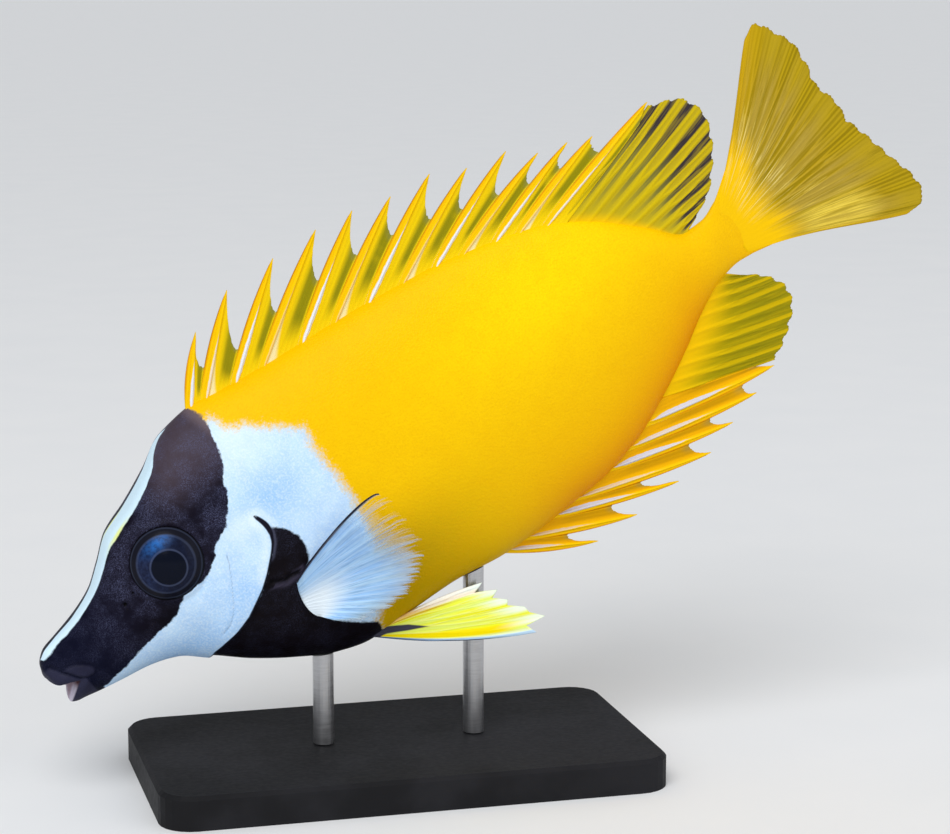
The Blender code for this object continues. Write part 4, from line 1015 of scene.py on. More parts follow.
def spiny_columns(feet, tips, notches, upper, last_foot):
    """Columns of a spiny fin from front to back.

    Each is its foot, tip, bow, spine, place across, extra thickness and share of front edge.
    """
    rng = np.random.default_rng(5)
    columns = []

    def column(foot_s, tip, bow, k, cross, thick=0.0, front=0.0):
        columns.append((fin_foot(foot_s, upper), tip, bow, k, cross, thick, front))

    for k, foot_s in enumerate(feet):
        _, tip, run, behind = spine_frame(foot_s, tips[k], upper)
        stout = SPINE_STOUT * rng.uniform(*SPINE_STOUT_SPREAD)
        for a in np.linspace(0.0, 1.0, LEAD_COLUMNS + 1)[:-1]:
            end = tip - run * (LEAD_DROP * (1 - a)) - behind * (LEAD_AHEAD * (1 - a))
            column(foot_s - SPINE_FRONT * (1 - a * LEAD_SPREAD), end,
                   -SPINE_BOW * (1 - 0.6 * a), k, -1.0 + 0.5 * a,
                   LEAD_THICK * math.sin(a * math.pi / 2), 1.0 - a)
        for a in np.linspace(-1, 1, CREST_COLUMNS):
            end = tip - run * (CREST_DROP * abs(a)) + behind * (CREST_LEAN * a)
            column(foot_s + SPINE_HALF_WIDTH * a, end, -SPINE_BOW * CREST_BOW * (1 - a), k,
                   CREST_PHASE * a, stout * math.sqrt(max(1 - a * a, 0.0)))
        rear = tip - run * MEMBRANE_DROP + behind * MEMBRANE_BEHIND
        first = foot_s + MEMBRANE_START
        if k + 1 == len(feet):
            drop, back = TAIL_PIECE_END
            for f in np.linspace(0.1, 1.0, TAIL_PIECE_COLUMNS):
                end = rear - run * (drop * f) + behind * (back * f)
                column(first + (last_foot - first) * f, end, 0.0, k, SPINE_PHASE + f)
            break
        curve, share = notch_curve(rear, behind, feet[k + 1], tips[k + 1], notches[k], upper)
        last = feet[k + 1] - SPINE_FRONT - MEMBRANE_GAP
        for f in np.linspace(MEMBRANE_FIRST, 1.0, MEMBRANE_COLUMNS):
            edge = cubic(curve, f)
            if f < 1.0:
                edge = edge + run * MEMBRANE_RAGGED * rng.normal()
            bow = -SPINE_BOW * share * share * smoothstep((f - 0.5) * 2)
            column(first + (last - first) * f, edge, bow, k, SPINE_PHASE + f)
    return columns


def spiny_fin(name, feet, tips, notches, upper, last_foot, material, node):
    """Bowed spines with a membrane cut back to a notch behind each tip."""
    sign = 1.0 if upper else -1.0
    columns = spiny_columns(feet, tips, notches, upper, last_foot)
    foot, tip, *rest = (np.array(values) for values in zip(*columns))
    bow, index, cross, thick, front = (values[:, None] for values in rest)
    v = np.linspace(0, 1, SPINY_ROWS)[None, :]
    run = unit(tip - foot)
    behind = np.stack([run[:, 1], -run[:, 0]], axis=-1) * sign
    plane = foot[:, None, :] + (tip - foot)[:, None, :] * v[..., None]
    plane = plane + behind[:, None, :] * (bow * 4 * v * (1 - v))[..., None]
    membrane = SPINY_MEMBRANE_HALF - SPINY_MEMBRANE_THINNING * v
    half = membrane + thick * (1.0 - SPINE_TAPER * v ** 1.2)
    half = np.maximum(half, membrane + FIN_ROOT * np.exp(-v * FIN_ROOT_FADE))
    fold = SPINY_FOLD * np.sin((cross - SPINE_PHASE) * math.pi) * smoothstep(v * 2)
    across_mm = np.zeros(half.shape)
    for k, foot_s in enumerate(feet):
        mine = index[:, 0] == k
        start = fin_foot(foot_s, upper)
        line = unit(np.array(tips[k]) - start)
        side = np.array([line[1], -line[0]]) * sign
        across_mm[mine] = (plane[mine] - start) @ side
    middle = np.stack([plane[..., 0], fold * (cross > SPINE_PHASE), plane[..., 1]], axis=-1)
    marks = {"phase": cross, "along": v, "ray": index, "across": across_mm, "front": front}
    marks = {key: np.broadcast_to(values, half.shape) for key, values in marks.items()}
    fin_object(name, middle, 1.0, half, marks, material, node)


def ridge(phase, v, width):
    """Height of a branching ray: one ridge, then two, then four towards the edge."""
    first, second = (step(v, start, end) for start, end, _ in RAY_SPLITS)
    wide, fine = (spread for _, _, spread in RAY_SPLITS)
    narrow = width * (1 - 0.5 * first - 0.2 * second)
    out = np.zeros(np.broadcast(phase, v).shape)
    for a in (-1, 1):
        for b in (-1, 1):
            out = np.maximum(out, bell(phase, wide * a * first + fine * b * second, narrow))
    return out


def thin_edge(v):
    return 1 - FIN_EDGE_THINNING * step(v, FIN_EDGE_START, 1.0)


def bow_share(v, skew=1.0):
    """Share of a bow at rows v, 1 at its peak, which a skew over 1 brings nearer the foot."""
    peak = skew ** skew / (1 + skew) ** (1 + skew)
    return v * (1 - v) ** skew / peak


def soft_layout(feet, tips, rays, per_ray, dip, seed):
    """Feet, tips and phases of the columns of a fin with soft rays."""
    rng = np.random.default_rng(seed)
    total = (rays - 1) * per_ray + 1
    share = np.linspace(0, 1, total)
    index = share * (rays - 1)
    phase = index - np.round(index)
    foot = along(feet, share)
    tip = along(tips, share)
    drop = dip * (np.abs(phase) * 2) ** MARGIN_POWER * rng.uniform(*MARGIN_SPREAD, total)
    drop += MARGIN_SCALLOP * (1 - np.abs(np.cos(phase * math.pi * 4)))
    drop += rng.uniform(0, MARGIN_RAGGED, total)
    return foot, tip - unit(tip - foot) * drop[:, None], phase, index


def ray_marks(phase, index, v, rib):
    """What a soft fin's paint reads, with a fan of streaks that follow the rays."""
    across = np.broadcast_to(index[:, None], rib.shape)
    out = np.broadcast_to(v, rib.shape)
    fan = np.stack([across, out * FAN_LENGTH, np.zeros(rib.shape)], axis=-1)
    side = np.broadcast_to(np.abs(phase)[:, None], rib.shape)
    return {"side": side, "along": out, "rib": rib, "spread": across / index[-1], "fan": fan}


def soft_fin(name, feet, tips, rays, dip, material, node, sway=SOFT_SWAY, bows=(0, 0),
             foot_half=SOFT_FOOT_HALF, relief=0.30, rise_from=-0.1, skew=1.0):
    """Fin in the middle plane, with rays as ridges and a foot as thick as the body's edge."""
    foot, tip, phase, index = soft_layout(feet, tips, rays, SOFT_COLUMNS_PER_RAY, dip, 7 + rays)
    v = np.linspace(0, 1, SOFT_ROWS)[None, :]
    run = tip - foot
    across = unit(np.stack([run[:, 1], -run[:, 0]], axis=-1))
    share = (index / index[-1])[:, None]
    bend = between(bows, share) * bow_share(v, skew)
    plane = foot[:, None, :] + run[:, None, :] * v[..., None]
    plane = plane + across[:, None, :] * bend[..., None]
    rib = ridge(phase[:, None], v, 0.17)
    rise = step(v, rise_from, rise_from + 0.25)
    length = np.linalg.norm(run, axis=1, keepdims=True)
    thick_foot = (foot_half - SOFT_HALF) * np.exp(-v * length / TAIL_FOOT_FADE)
    thick_foot = thick_foot * np.sqrt(1 - (2 * share - 1) ** 8)
    half = SOFT_HALF + relief * rib * rise * (1 - 0.5 * v) + thick_foot
    side = sway * v * v + SOFT_RIPPLE * np.sin(phase[:, None] * 2 * math.pi) * v
    middle = np.stack([plane[..., 0], side, plane[..., 1]], axis=-1)
    fin_object(name, middle, 1.0, half * thin_edge(v), ray_marks(phase, index, v, rib), material,
               node)


def make_spiny_paint(name, membrane, patch, patch_share, orange, strengths, widths,
                     pale, streak_tone, streak_from):
    """Yellow spines with warm front edges, a pale streak low on some, dusky patches between."""
    paint = Paint(name, 0.38)
    phase, v, ray, across, front = paint.values("phase", "along", "ray", "across", "front")
    fish = paint.attribute("fish", "Vector")
    fine = paint.noise(fish, 0.8, 4.0, 0.6)
    soft = paint.noise(fish, 0.13, 2.0, 0.5)
    base = paint.over(colour(248, 200, 4), paint.fade(phase, 0.3, 0.8), membrane)
    strip = paint.math("SINE", paint.times(across, 7.0))
    base = paint.over(base, paint.fade(strip, 0.2, 1.0), colour(224, 156, 2), 0.12)
    high = paint.fade(v, 0.12, 0.5)
    odd = paint.math("PINGPONG", ray, 1.0)
    start = paint.scaled(odd, -0.16, 0.84)
    shade = paint.fade(paint.minus(phase, start), 0.0, 0.34)
    shade = paint.times(shade, paint.fall(phase, 1.34, 1.5))
    shade = paint.times(shade, high)
    shade = paint.times(shade, paint.fade(soft, 0.1, 0.42))
    base = paint.over(base, shade, patch, patch_share)
    wedge = paint.minus(paint.scaled(v, -1.0, 0.5), paint.minus(phase, 0.42))
    wedge = paint.times(paint.fade(wedge, 0.0, 0.16), paint.fade(phase, 0.34, 0.5))
    base = paint.over(base, paint.times(wedge, odd), colour(236, 226, 178), pale)
    rim = paint.times(paint.fade(phase, 0.8, 1.3), paint.fade(v, 0.88, 1.0))
    base = paint.over(base, rim, colour(120, 128, 80), 0.4)
    warm = paint.times(paint.fade(front, 0.35, 1.0), paint.fade(v, 0.05, 0.4))
    base = paint.over(base, warm, orange, 0.85)
    shares = paint.levels(ray, strengths)
    wide = paint.levels(ray, widths)
    wobble = paint.scaled(fine, 0.3, -0.15)
    centre = paint.math("ABSOLUTE", paint.plus(paint.minus(across, 0.05), wobble))
    width = paint.times(paint.fade(v, streak_from, streak_from + 0.17), paint.fall(v, 0.3, 0.74))
    width = paint.times(width, wide)
    streak = paint.fade(paint.minus(width, centre), 0.0, 0.12)
    base = paint.over(base, streak, streak_tone, shares)
    paint.base(base)
    height = paint.scaled(strip, 0.4, fine)
    paint.bump(height, 0.2, 0.0003)
    return paint.material


def make_soft_paint(name, ray, membrane, dusk, dusk_from, root, ray_wide, rear_dark=0.0):
    """Pale rays on a membrane that turns dusky towards the edge."""
    paint = Paint(name, 0.4)
    rib, v, spread = paint.values("rib", "along", "spread")
    fish = paint.attribute("fish", "Vector")
    fine = paint.noise(fish, 0.9, 4.0, 0.6)
    side = paint.plus(paint.attribute("side"), paint.scaled(fine, 0.04, -0.02))
    dark = paint.fade(paint.scaled(spread, rear_dark, v), dusk_from, dusk_from + 0.4)
    skin = paint.over(membrane, dark, dusk)
    narrow = paint.scaled(paint.fade(v, 0.3, 1.0), -0.07, ray_wide)
    band = paint.fade(paint.minus(side, narrow), -0.03, 0.07)
    band = paint.times(band, paint.fade(v, 0.05, 0.42))
    line = paint.times(paint.fall(rib, 0.1, 0.7), 0.22)
    tone = paint.over(ray, line, membrane)
    streak = paint.fade(paint.noise(paint.attribute("fan", "Vector"), 4.3, 3.0, 0.6), 0.46, 0.62)
    skin = paint.over(skin, streak, ray, 0.28)
    base = paint.over(tone, band, skin)
    low = paint.fall(v, 0.0, root)
    base = paint.over(base, low, YELLOW)
    paint.base(base)
    paint.bump(fine, 0.12, 0.0003)
    return paint.material


def make_caudal_paint():
    """Gold at the root and along both edges, tan in the middle, olive and pale streaks."""
    paint = Paint("caudal_paint", 0.4)
    rib, v, spread = paint.values("rib", "along", "spread")
    fan, fish = paint.vectors("fan", "fish")
    fine = paint.noise(fish, 1.3, 4.0, 0.65)
    wide = paint.noise(fan, 0.9, 3.0, 0.6)
    thin = paint.noise(fan, 4.6, 3.0, 0.6)
    pale = paint.noise(fan, 6.1, 3.0, 0.6)
    base = paint.over(colour(172, 145, 52), paint.fade(wide, 0.4, 0.6), colour(180, 148, 18))
    base = paint.over(base, paint.fade(v, 0.68, 0.95), colour(180, 152, 10), 0.75)
    start = paint.fade(v, 0.2, 0.42)
    line = paint.fall(rib, 0.05, 0.6)
    line = paint.times(line, paint.fade(wide, 0.42, 0.58))
    line = paint.math("MAXIMUM", line, paint.times(paint.fade(thin, 0.54, 0.64), 0.7))
    line = paint.times(line, paint.times(start, 0.75))
    base = paint.over(base, line, colour(138, 116, 0))
    crest = paint.times(paint.fade(rib, 0.5, 1.0), 0.2)
    crest = paint.math("MAXIMUM", crest, paint.times(paint.fade(pale, 0.56, 0.66), 0.6))
    crest = paint.times(crest, paint.fall(v, 0.5, 0.85))
    base = paint.over(base, crest, colour(222, 196, 92))
    straw = paint.times(paint.fade(spread, 0.72, 0.84), paint.fade(v, 0.25, 0.42))
    straw = paint.times(straw, paint.fall(v, 0.62, 0.82))
    straw = paint.times(straw, paint.scaled(paint.fade(pale, 0.4, 0.6), 0.6, 0.3))
    base = paint.over(base, straw, colour(232, 204, 76))
    upper = paint.fall(spread, 0.03, 0.16)
    edge = paint.math("MAXIMUM", paint.fade(spread, 0.945, 0.985), upper)
    streaky = paint.scaled(paint.fade(pale, 0.5, 0.7), -0.4, 0.95)
    base = paint.over(base, paint.times(edge, streaky), colour(194, 156, 8))
    reach = paint.plus(v, paint.scaled(wide, 0.3, -0.15))
    reach = paint.plus(reach, paint.scaled(thin, 0.16, -0.08))
    high = paint.fall(spread, 0.1, 0.4)
    reach = paint.scaled(high, -0.1, reach)
    low = paint.fall(reach, 0.15, 0.38)
    base = paint.over(base, low, YELLOW)
    flecks = paint.times(paint.fade(pale, 0.52, 0.64), paint.fade(v, 0.08, 0.2))
    flecks = paint.times(flecks, paint.fall(v, 0.3, 0.55))
    flecks = paint.times(flecks, paint.fall(spread, 0.45, 0.7))
    base = paint.over(base, flecks, colour(246, 226, 150), 0.7)
    paint.base(base)
    paint.bump(fine, 0.12, 0.0003)
    return paint.material


DORSAL_STREAKS = (0.95, 0.6, 0.95, 0.2, 0.95, 0.2, 0.95, 0.2, 0.9, 0.2, 0.85, 0.2, 0.7)
DORSAL_STREAK_WIDTHS = (0.45, 0.35, 0.5, 0.3, 0.5, 0.3, 0.5, 0.3, 0.45, 0.3, 0.42, 0.3, 0.35)
ANAL_STREAKS = (0.7, 0.5, 0.9, 0.5, 0.9, 0.7, 0.9)
ANAL_STREAK_WIDTHS = (0.4, 0.3, 0.6, 0.4, 0.65, 0.45, 0.6)
SPINY_END = 0.1
CAUDAL_LAP = 1.5
CAUDAL_FOOT_INSETS = (1.1, 0.5)


def make_spiny_fins():
    paint = make_spiny_paint(
        "dorsal_spiny_paint", membrane=colour(236, 202, 8), patch=colour(122, 120, 12),
        patch_share=0.88, orange=colour(212, 132, 4), strengths=DORSAL_STREAKS,
        widths=DORSAL_STREAK_WIDTHS, pale=0.85, streak_tone=colour(226, 232, 246),
        streak_from=-0.05)
    spiny_fin("dorsal_spiny_fin", DORSAL_SPINE_FEET, DORSAL_SPINE_TIPS, DORSAL_NOTCHES, True,
              DORSAL_SOFT_FEET[0] + SPINY_END, paint, "dorsal_fin_spiny")
    paint = make_spiny_paint(
        "anal_spiny_paint", membrane=colour(234, 170, 2), patch=colour(156, 116, 2),
        patch_share=0.45, orange=colour(224, 134, 0), strengths=ANAL_STREAKS,
        widths=ANAL_STREAK_WIDTHS, pale=0.0, streak_tone=colour(204, 210, 230),
        streak_from=0.02)
    spiny_fin("anal_spiny_fin", ANAL_SPINE_FEET, ANAL_SPINE_TIPS, ANAL_NOTCHES, False,
              ANAL_SOFT_FEET[0] + SPINY_END, paint, "anal_fin_spiny")


def soft_feet(start, end, column, inset):
    """Feet of a soft fin, inside the skin of the back or the belly."""
    return [(s, float(body(s, column)) - inset) for s in np.linspace(start, end, SOFT_FOOT_POINTS)]


def make_soft_fins():
    start, end = DORSAL_SOFT_FEET
    feet = soft_feet(start - SOFT_LAP, end, BACK, SOFT_FOOT_INSET)
    paint = make_soft_paint(
        "dorsal_soft_paint", ray=colour(204, 178, 14), membrane=colour(126, 120, 50),
        dusk=colour(56, 48, 52), dusk_from=0.52, root=0.12, ray_wide=0.33, rear_dark=0.45)
    first = (DORSAL_SOFT_TIPS[0][0] - 2 * SOFT_LAP, DORSAL_SOFT_TIPS[0][1] + SOFT_LAP / 2)
    soft_fin("dorsal_soft_fin", feet, (first,) + DORSAL_SOFT_TIPS[1:], DORSAL_SOFT_RAYS, 1.0,
             paint, "dorsal_fin_soft")
    feet = soft_feet(*ANAL_SOFT_FEET, BELLY, -SOFT_FOOT_INSET)
    paint = make_soft_paint(
        "anal_soft_paint", ray=colour(206, 174, 2), membrane=colour(162, 144, 4),
        dusk=colour(146, 134, 8), dusk_from=0.35, root=0.46, ray_wide=0.17)
    soft_fin("anal_soft_fin", feet, ANAL_SOFT_TIPS, ANAL_SOFT_RAYS, 0.9, paint, "anal_fin_soft")
    top, bottom = CAUDAL_FOOT_INSETS
    heights = np.linspace(CAUDAL_FOOT_H[0] - top, CAUDAL_FOOT_H[1] + bottom, 9)
    feet = [(CAUDAL_FOOT_S - CAUDAL_LAP, h) for h in heights]
    soft_fin("caudal", feet, CAUDAL_TIPS, CAUDAL_RAYS, 0.7, make_caudal_paint(), "caudal_fin",
             sway=CAUDAL_SWAY, bows=CAUDAL_BOWS, foot_half=1.1, relief=0.17,
             rise_from=0.16, skew=CAUDAL_SKEW)


def paired_fin(name, foot, tip, phase, index, thick, material, node, side, bow, bows,
               foot_half, extra=None, skew=1.0):
    """Fin on one side, bowed outwards by bow and along its edges by bows."""
    v = np.linspace(0, 1, PAIRED_ROWS)[None, :]
    run = unit(tip - foot)
    across = np.stack([run[:, 2], np.zeros(len(run)), -run[:, 0]], axis=-1)
    across = across * between(bows, index / index[-1])[:, None]
    middle = foot[:, None, :] + (tip - foot)[:, None, :] * v[..., None]
    middle = middle + across[:, None, :] * bow_share(v, skew)[..., None]
    middle[..., 1] += bow * bow_share(v)
    middle[..., 1] += PAIRED_RIPPLE * np.sin(phase[:, None] * 2 * math.pi) * v
    rib = ridge(phase[:, None], v, 0.18)
    half = PAIRED_HALF + thick[:, None] * rib * (1 - 0.6 * v)
    half = half + (foot_half - PAIRED_HALF) * np.exp(-v * PAIRED_FOOT_FADE)
    marks = ray_marks(phase, index, v, rib)
    if extra:
        marks.update(extra(middle))
    middle[..., 1] *= side
    fin_object(name, middle, side, half * thin_edge(v), marks, material, node)


def pectoral_paint():
    """Pale blue, clear towards the upper and outer margin, with a dark leading ray."""
    paint = Paint("pectoral_paint", 0.4)
    rib, v, spread = paint.values("rib", "along", "spread")
    fan, fish = paint.vectors("fan", "fish")
    fine = paint.noise(fish, 1.2, 3.0)
    wide = paint.noise(fan, 1.1, 3.0, 0.6)
    thin = paint.noise(fan, 5.6, 3.0, 0.6)
    base = paint.over(colour(160, 204, 250), paint.fade(wide, 0.36, 0.64), colour(186, 224, 255))
    lines = paint.times(paint.fade(thin, 0.5, 0.58), paint.fade(v, 0.1, 0.3))
    base = paint.over(base, lines, colour(118, 158, 204), 0.55)
    base = paint.over(base, paint.fade(rib, 0.4, 1.0), colour(206, 230, 252), 0.4)
    low = paint.times(paint.fade(v, 0.5, 0.95), paint.fade(spread, 0.5, 0.9))
    base = paint.over(base, low, colour(150, 178, 176), 0.5)
    root = paint.times(paint.fall(v, 0.16, 0.46), paint.fade(spread, 0.15, 0.5))
    base = paint.over(base, root, colour(234, 246, 255))
    base = paint.over(base, paint.fade(v, 0.7, 0.98), colour(196, 186, 176), 0.4)
    width = paint.scaled(v, -0.021, 0.028)
    lead = paint.fall(paint.minus(spread, width), -0.004, 0.008)
    thread = paint.times(paint.fade(spread, 0.003, 0.009), paint.fall(v, 0.5, 0.7))
    dark = paint.over(colour(36, 36, 48), thread, colour(104, 110, 128), 0.5)
    base = paint.over(base, lead, dark)
    paint.base(base)
    upper = paint.fall(spread, 0.2, 0.62)
    clear = paint.scaled(upper, -0.26, 0.96)
    out = paint.scaled(upper, 0.44, 0.3)
    clear = paint.minus(clear, paint.times(paint.fade(v, 0.35, 0.95), out))
    rays = paint.times(paint.fade(thin, 0.48, 0.58), 0.26)
    rays = paint.times(rays, paint.fade(v, 0.4, 0.8))
    clear = paint.plus(clear, rays)
    cut = paint.scaled(wide, 0.36, 0.7)
    cut = paint.scaled(paint.fade(thin, 0.35, 0.65), 0.1, cut)
    past = paint.fade(paint.minus(v, cut), -0.04, 0.05)
    clear = paint.times(clear, paint.rest(past))
    clear = paint.math("MAXIMUM", clear, lead)
    paint.put(paint.shader, "Alpha", paint.math("MINIMUM", clear, 1.0))
    paint.bump(fine, 0.1, 0.0003)
    return paint.material


LEAD_RAY_THICK = 0.26
PECTORAL_RAY_THICK = 0.05
PECTORAL_FORWARD = 0.8
PECTORAL_SINK = 0.1


def make_pectorals():
    paint = pectoral_paint()
    for side, word in ((-1.0, "left"), (1.0, "right")):
        foot, tip, phase, index = soft_layout(PECTORAL_ROOT, PECTORAL_TIPS, PECTORAL_RAYS + 1,
                                              per_ray=12, dip=0.7, seed=31)
        skin = flank_y(foot[:, 0], foot[:, 1])
        out = between(PECTORAL_OUT, index / index[-1])
        foot3 = np.stack([foot[:, 0] - PECTORAL_FORWARD, skin - PECTORAL_SINK, foot[:, 1]], axis=-1)
        tip3 = np.stack([tip[:, 0], skin + out, tip[:, 1]], axis=-1)
        thick = np.where(index < 0.5, LEAD_RAY_THICK, PECTORAL_RAY_THICK)
        paired_fin("pectoral_" + word, foot3, tip3, phase, index, thick, paint,
                   "pectoral_fin_" + word, side, bow=0.7, bows=PECTORAL_EDGE_BOWS,
                   foot_half=0.85, skew=PECTORAL_SKEW)


def pelvic_paint():
    """White and peach above, lemon lobes, a gold band below and a blue spine at the edge."""
    paint = Paint("pelvic_paint", 0.36)
    rib, v, spread, side, blade = paint.values("rib", "along", "spread", "side", "blade")
    fan, fish = paint.vectors("fan", "fish")
    fine = paint.noise(fish, 1.0, 3.0)
    wide = paint.noise(fan, 1.3, 3.0, 0.6)
    thin = paint.noise(fan, 4.1, 3.0, 0.6)
    base = paint.over(colour(232, 249, 118), paint.fade(wide, 0.38, 0.62), colour(240, 244, 44))
    base = paint.over(base, paint.fade(thin, 0.5, 0.62), colour(240, 228, 8), 0.45)
    base = paint.over(base, paint.fade(rib, 0.6, 1.0), colour(252, 252, 190), 0.3)
    gold = paint.times(paint.fade(spread, 0.79, 0.83), paint.fall(spread, 0.91, 0.94))
    gold = paint.times(gold, paint.fall(v, 0.8, 0.98))
    base = paint.over(base, gold, colour(244, 220, 2))
    seam = paint.times(paint.fade(spread, 0.12, 0.16), paint.fall(spread, 0.17, 0.21))
    seam = paint.times(seam, paint.fall(v, 0.45, 0.75))
    base = paint.over(base, seam, colour(226, 178, 30))
    above = paint.fall(spread, 0.11, 0.15)
    peach = paint.over(colour(250, 206, 122), paint.fade(v, 0.3, 0.6), colour(255, 240, 214))
    base = paint.over(base, above, peach)
    rim = paint.times(paint.fall(spread, 0.03, 0.06), paint.fade(v, 0.25, 0.4))
    base = paint.over(base, rim, colour(255, 252, 240))
    tips = paint.times(paint.fade(v, 0.72, 0.98), paint.fall(side, 0.15, 0.45))
    base = paint.over(base, tips, colour(236, 252, 244), 0.8)
    low = paint.fade(spread, 0.925, 0.95)
    base = paint.over(base, low, colour(238, 246, 196), 0.8)
    outer = paint.fade(paint.scaled(v, -0.02, spread), 0.935, 0.95)
    spine = paint.over(colour(84, 116, 170), paint.fade(v, 0.1, 0.75), colour(190, 220, 244))
    core = paint.times(paint.fade(spread, 0.98, 0.99), paint.fall(v, 0.6, 0.9))
    spine = paint.over(spine, core, colour(44, 56, 80))
    base = paint.over(base, outer, spine)
    base = paint.over(base, paint.fade(blade, -0.05, 0.25), colour(66, 66, 80))
    paint.base(base)
    paint.bump(fine, 0.1, 0.0003)
    return paint.material


def blade_mark(middle):
    """Distance to the dark blade at the fin's foot."""
    return {"blade": inside_distance(middle[..., 0], middle[..., 2], PELVIC_BLADE)}


PELVIC_EDGE_THICK = 0.42
PELVIC_RAY_THICK = 0.11
PELVIC_FORWARD = 0.6


def make_pelvics():
    paint = pelvic_paint()
    feet = [(s, float(skin_below(s, PELVIC_FOOT_Y))) for s in PELVIC_FEET]
    rays = len(PELVIC_TIPS_LEFT)
    for side, word, tips in ((-1.0, "left", PELVIC_TIPS_LEFT), (1.0, "right", PELVIC_TIPS_RIGHT)):
        foot, _, phase, index = soft_layout(feet, tips, rays, per_ray=20, dip=0.0, seed=41)
        tip = np.stack([np.interp(index, range(rays), values) for values in zip(*tips)], axis=-1)
        dips = np.array(PELVIC_DIPS)[np.minimum(index.astype(int), rays - 2)]
        tip = tip - unit(tip - foot) * (dips * 2 * np.abs(phase))[:, None]
        y0 = np.full(len(index), PELVIC_FOOT_Y)
        foot_h = skin_below(foot[:, 0], y0) + FIN_SINK
        foot3 = np.stack([foot[:, 0] - PELVIC_FORWARD, y0, foot_h], axis=-1)
        tip3 = np.stack([tip[:, 0], between(PELVIC_TIP_Y, index / index[-1]), tip[:, 1]], axis=-1)
        at_edge = (index < 0.35) | (index > index[-1] - 0.2)
        thick = np.where(at_edge, PELVIC_EDGE_THICK, PELVIC_RAY_THICK)
        paired_fin("pelvic_" + word, foot3, tip3, phase, index, thick, paint,
                   "pelvic_fin_" + word, side, bow=0.4, bows=PELVIC_EDGE_BOWS,
                   foot_half=0.8, extra=blade_mark)


# Eyes
EYE_RINGS_FINE = 72
EYE_SEGMENTS_FINE = 96
PUPIL_RADIUS = 3.5
PUPIL_SHIFT = (0.09, -0.81)
EYE_BACK_DEPTH = -3.2
EYE_FAR = 9.0
EYE_REFLECTION_SPOT = ((1.6, 3.0), (4.4, 1.3))
EYE_SHADE_WIDTH = 9.0


def eye_paint():
    """Dark navy eye: black pupil, fine pale rings, a painted blue reflection above and behind the
    pupil and painted shade towards its lower back.
    """
    paint = Paint("eye_paint", 0.24, Coat_Weight=0.06, Coat_Roughness=0.12)
    ring, wide, blue_reflection, low = paint.values("pupil", "disc", "blue_reflection", "low")
    fish = paint.attribute("fish", "Vector")
    fine = paint.noise(fish, 1.3, 4.0, 0.6)
    base = paint.over(colour(22, 28, 52), paint.fade(fine, 0.35, 0.7), colour(34, 44, 74))
    light = paint.times(blue_reflection, paint.fade(fine, 0.15, 0.6))
    # painted reflection: a blue patch above and behind the pupil
    base = paint.over(base, light, colour(26, 96, 172))
    # painted shade towards the lower back of the eye
    base = paint.over(base, low, colour(14, 17, 32), 0.7)
    base = paint.over(base, paint.fade(wide, 5.8, 6.1), colour(17, 18, 29))
    base = paint.over(base, paint.fade(wide, 6.9, 7.3), colour(9, 8, 14))
    for source, place, half, share in ((ring, PUPIL_RADIUS + 0.2, 0.26, 0.34),
                                       (wide, 5.85, 0.35, 0.2), (wide, 7.1, 0.2, 0.2)):
        line = paint.math("ABSOLUTE", paint.minus(source, place))
        line = paint.fall(line, half * 0.3, half)
        base = paint.over(base, line, colour(84, 94, 122), share)
    inside = paint.fall(ring, PUPIL_RADIUS - 0.12, PUPIL_RADIUS)
    base = paint.over(base, inside, colour(8, 13, 27))
    paint.base(base)
    rough = paint.scaled(paint.fade(wide, 5.9, 6.3), 0.25, 0.2)
    paint.put(paint.shader, "Roughness", rough)
    return paint.material


def eyeball(centre, out, back, up):
    """Places on a ball that is flatter along the way out of the head."""
    polar = np.linspace(0, math.pi, EYE_RINGS_FINE + 1)[1:-1][:, None]
    turn = (np.arange(EYE_SEGMENTS_FINE) * 2 * math.pi / EYE_SEGMENTS_FINE)[None, :]
    flat = back * np.cos(turn)[..., None] + up * np.sin(turn)[..., None]
    rings = (centre + out * (EYE_DEPTH_RADIUS * np.cos(polar))[..., None]
             + flat * (EYE_RADIUS * np.sin(polar))[..., None])
    ends = [centre + out * EYE_DEPTH_RADIUS, centre - out * EYE_DEPTH_RADIUS]
    return np.concatenate([rings.reshape(-1, 3), ends])


def make_eyes():
    paint = eye_paint()
    for side, word in ((-1.0, "left"), (1.0, "right")):
        middle, out, back, up = eye_frame(side)
        places = eyeball(middle + out * (EYE_BULGE - EYE_DEPTH_RADIUS), out, back, up)
        faces = tube_faces(EYE_RINGS_FINE - 1, EYE_SEGMENTS_FINE)
        if side > 0:
            faces = [face[::-1] for face in faces]
        q = places - middle
        a = q @ back
        b = q @ up
        hidden = (q @ out) < EYE_BACK_DEPTH
        pupil = np.hypot(a - PUPIL_SHIFT[0], b - PUPIL_SHIFT[1])
        marks = {"fish": places, "disc": np.where(hidden, EYE_FAR, np.hypot(a, b)),
                 "pupil": np.where(hidden, EYE_FAR, pupil),
                 "blue_reflection": bell(a, *EYE_REFLECTION_SPOT[0]) * bell(b, *EYE_REFLECTION_SPOT[1]),
                 "low": smoothstep(0.5 + (a - b) / EYE_SHADE_WIDTH)}
        made = mesh_object("eyeball_" + word, places, faces, marks, paint)
        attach(made, "root")
        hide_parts("eye_" + word)


# Stand
def stand_paint():
    paint = Paint("stand_paint", 0.55)
    place = paint.add("ShaderNodeTexCoord").outputs["Object"]
    fine = paint.noise(place, 900.0, 3.0)
    broad = paint.noise(place, 60.0, 3.0)
    base = paint.over(colour(30, 30, 32), paint.fade(broad, 0.35, 0.65), colour(38, 38, 41))
    paint.base(base)
    rough = paint.scaled(fine, 0.2, 0.42)
    paint.put(paint.shader, "Roughness", rough)
    paint.bump(fine, 0.25, 0.0002)
    return paint.material


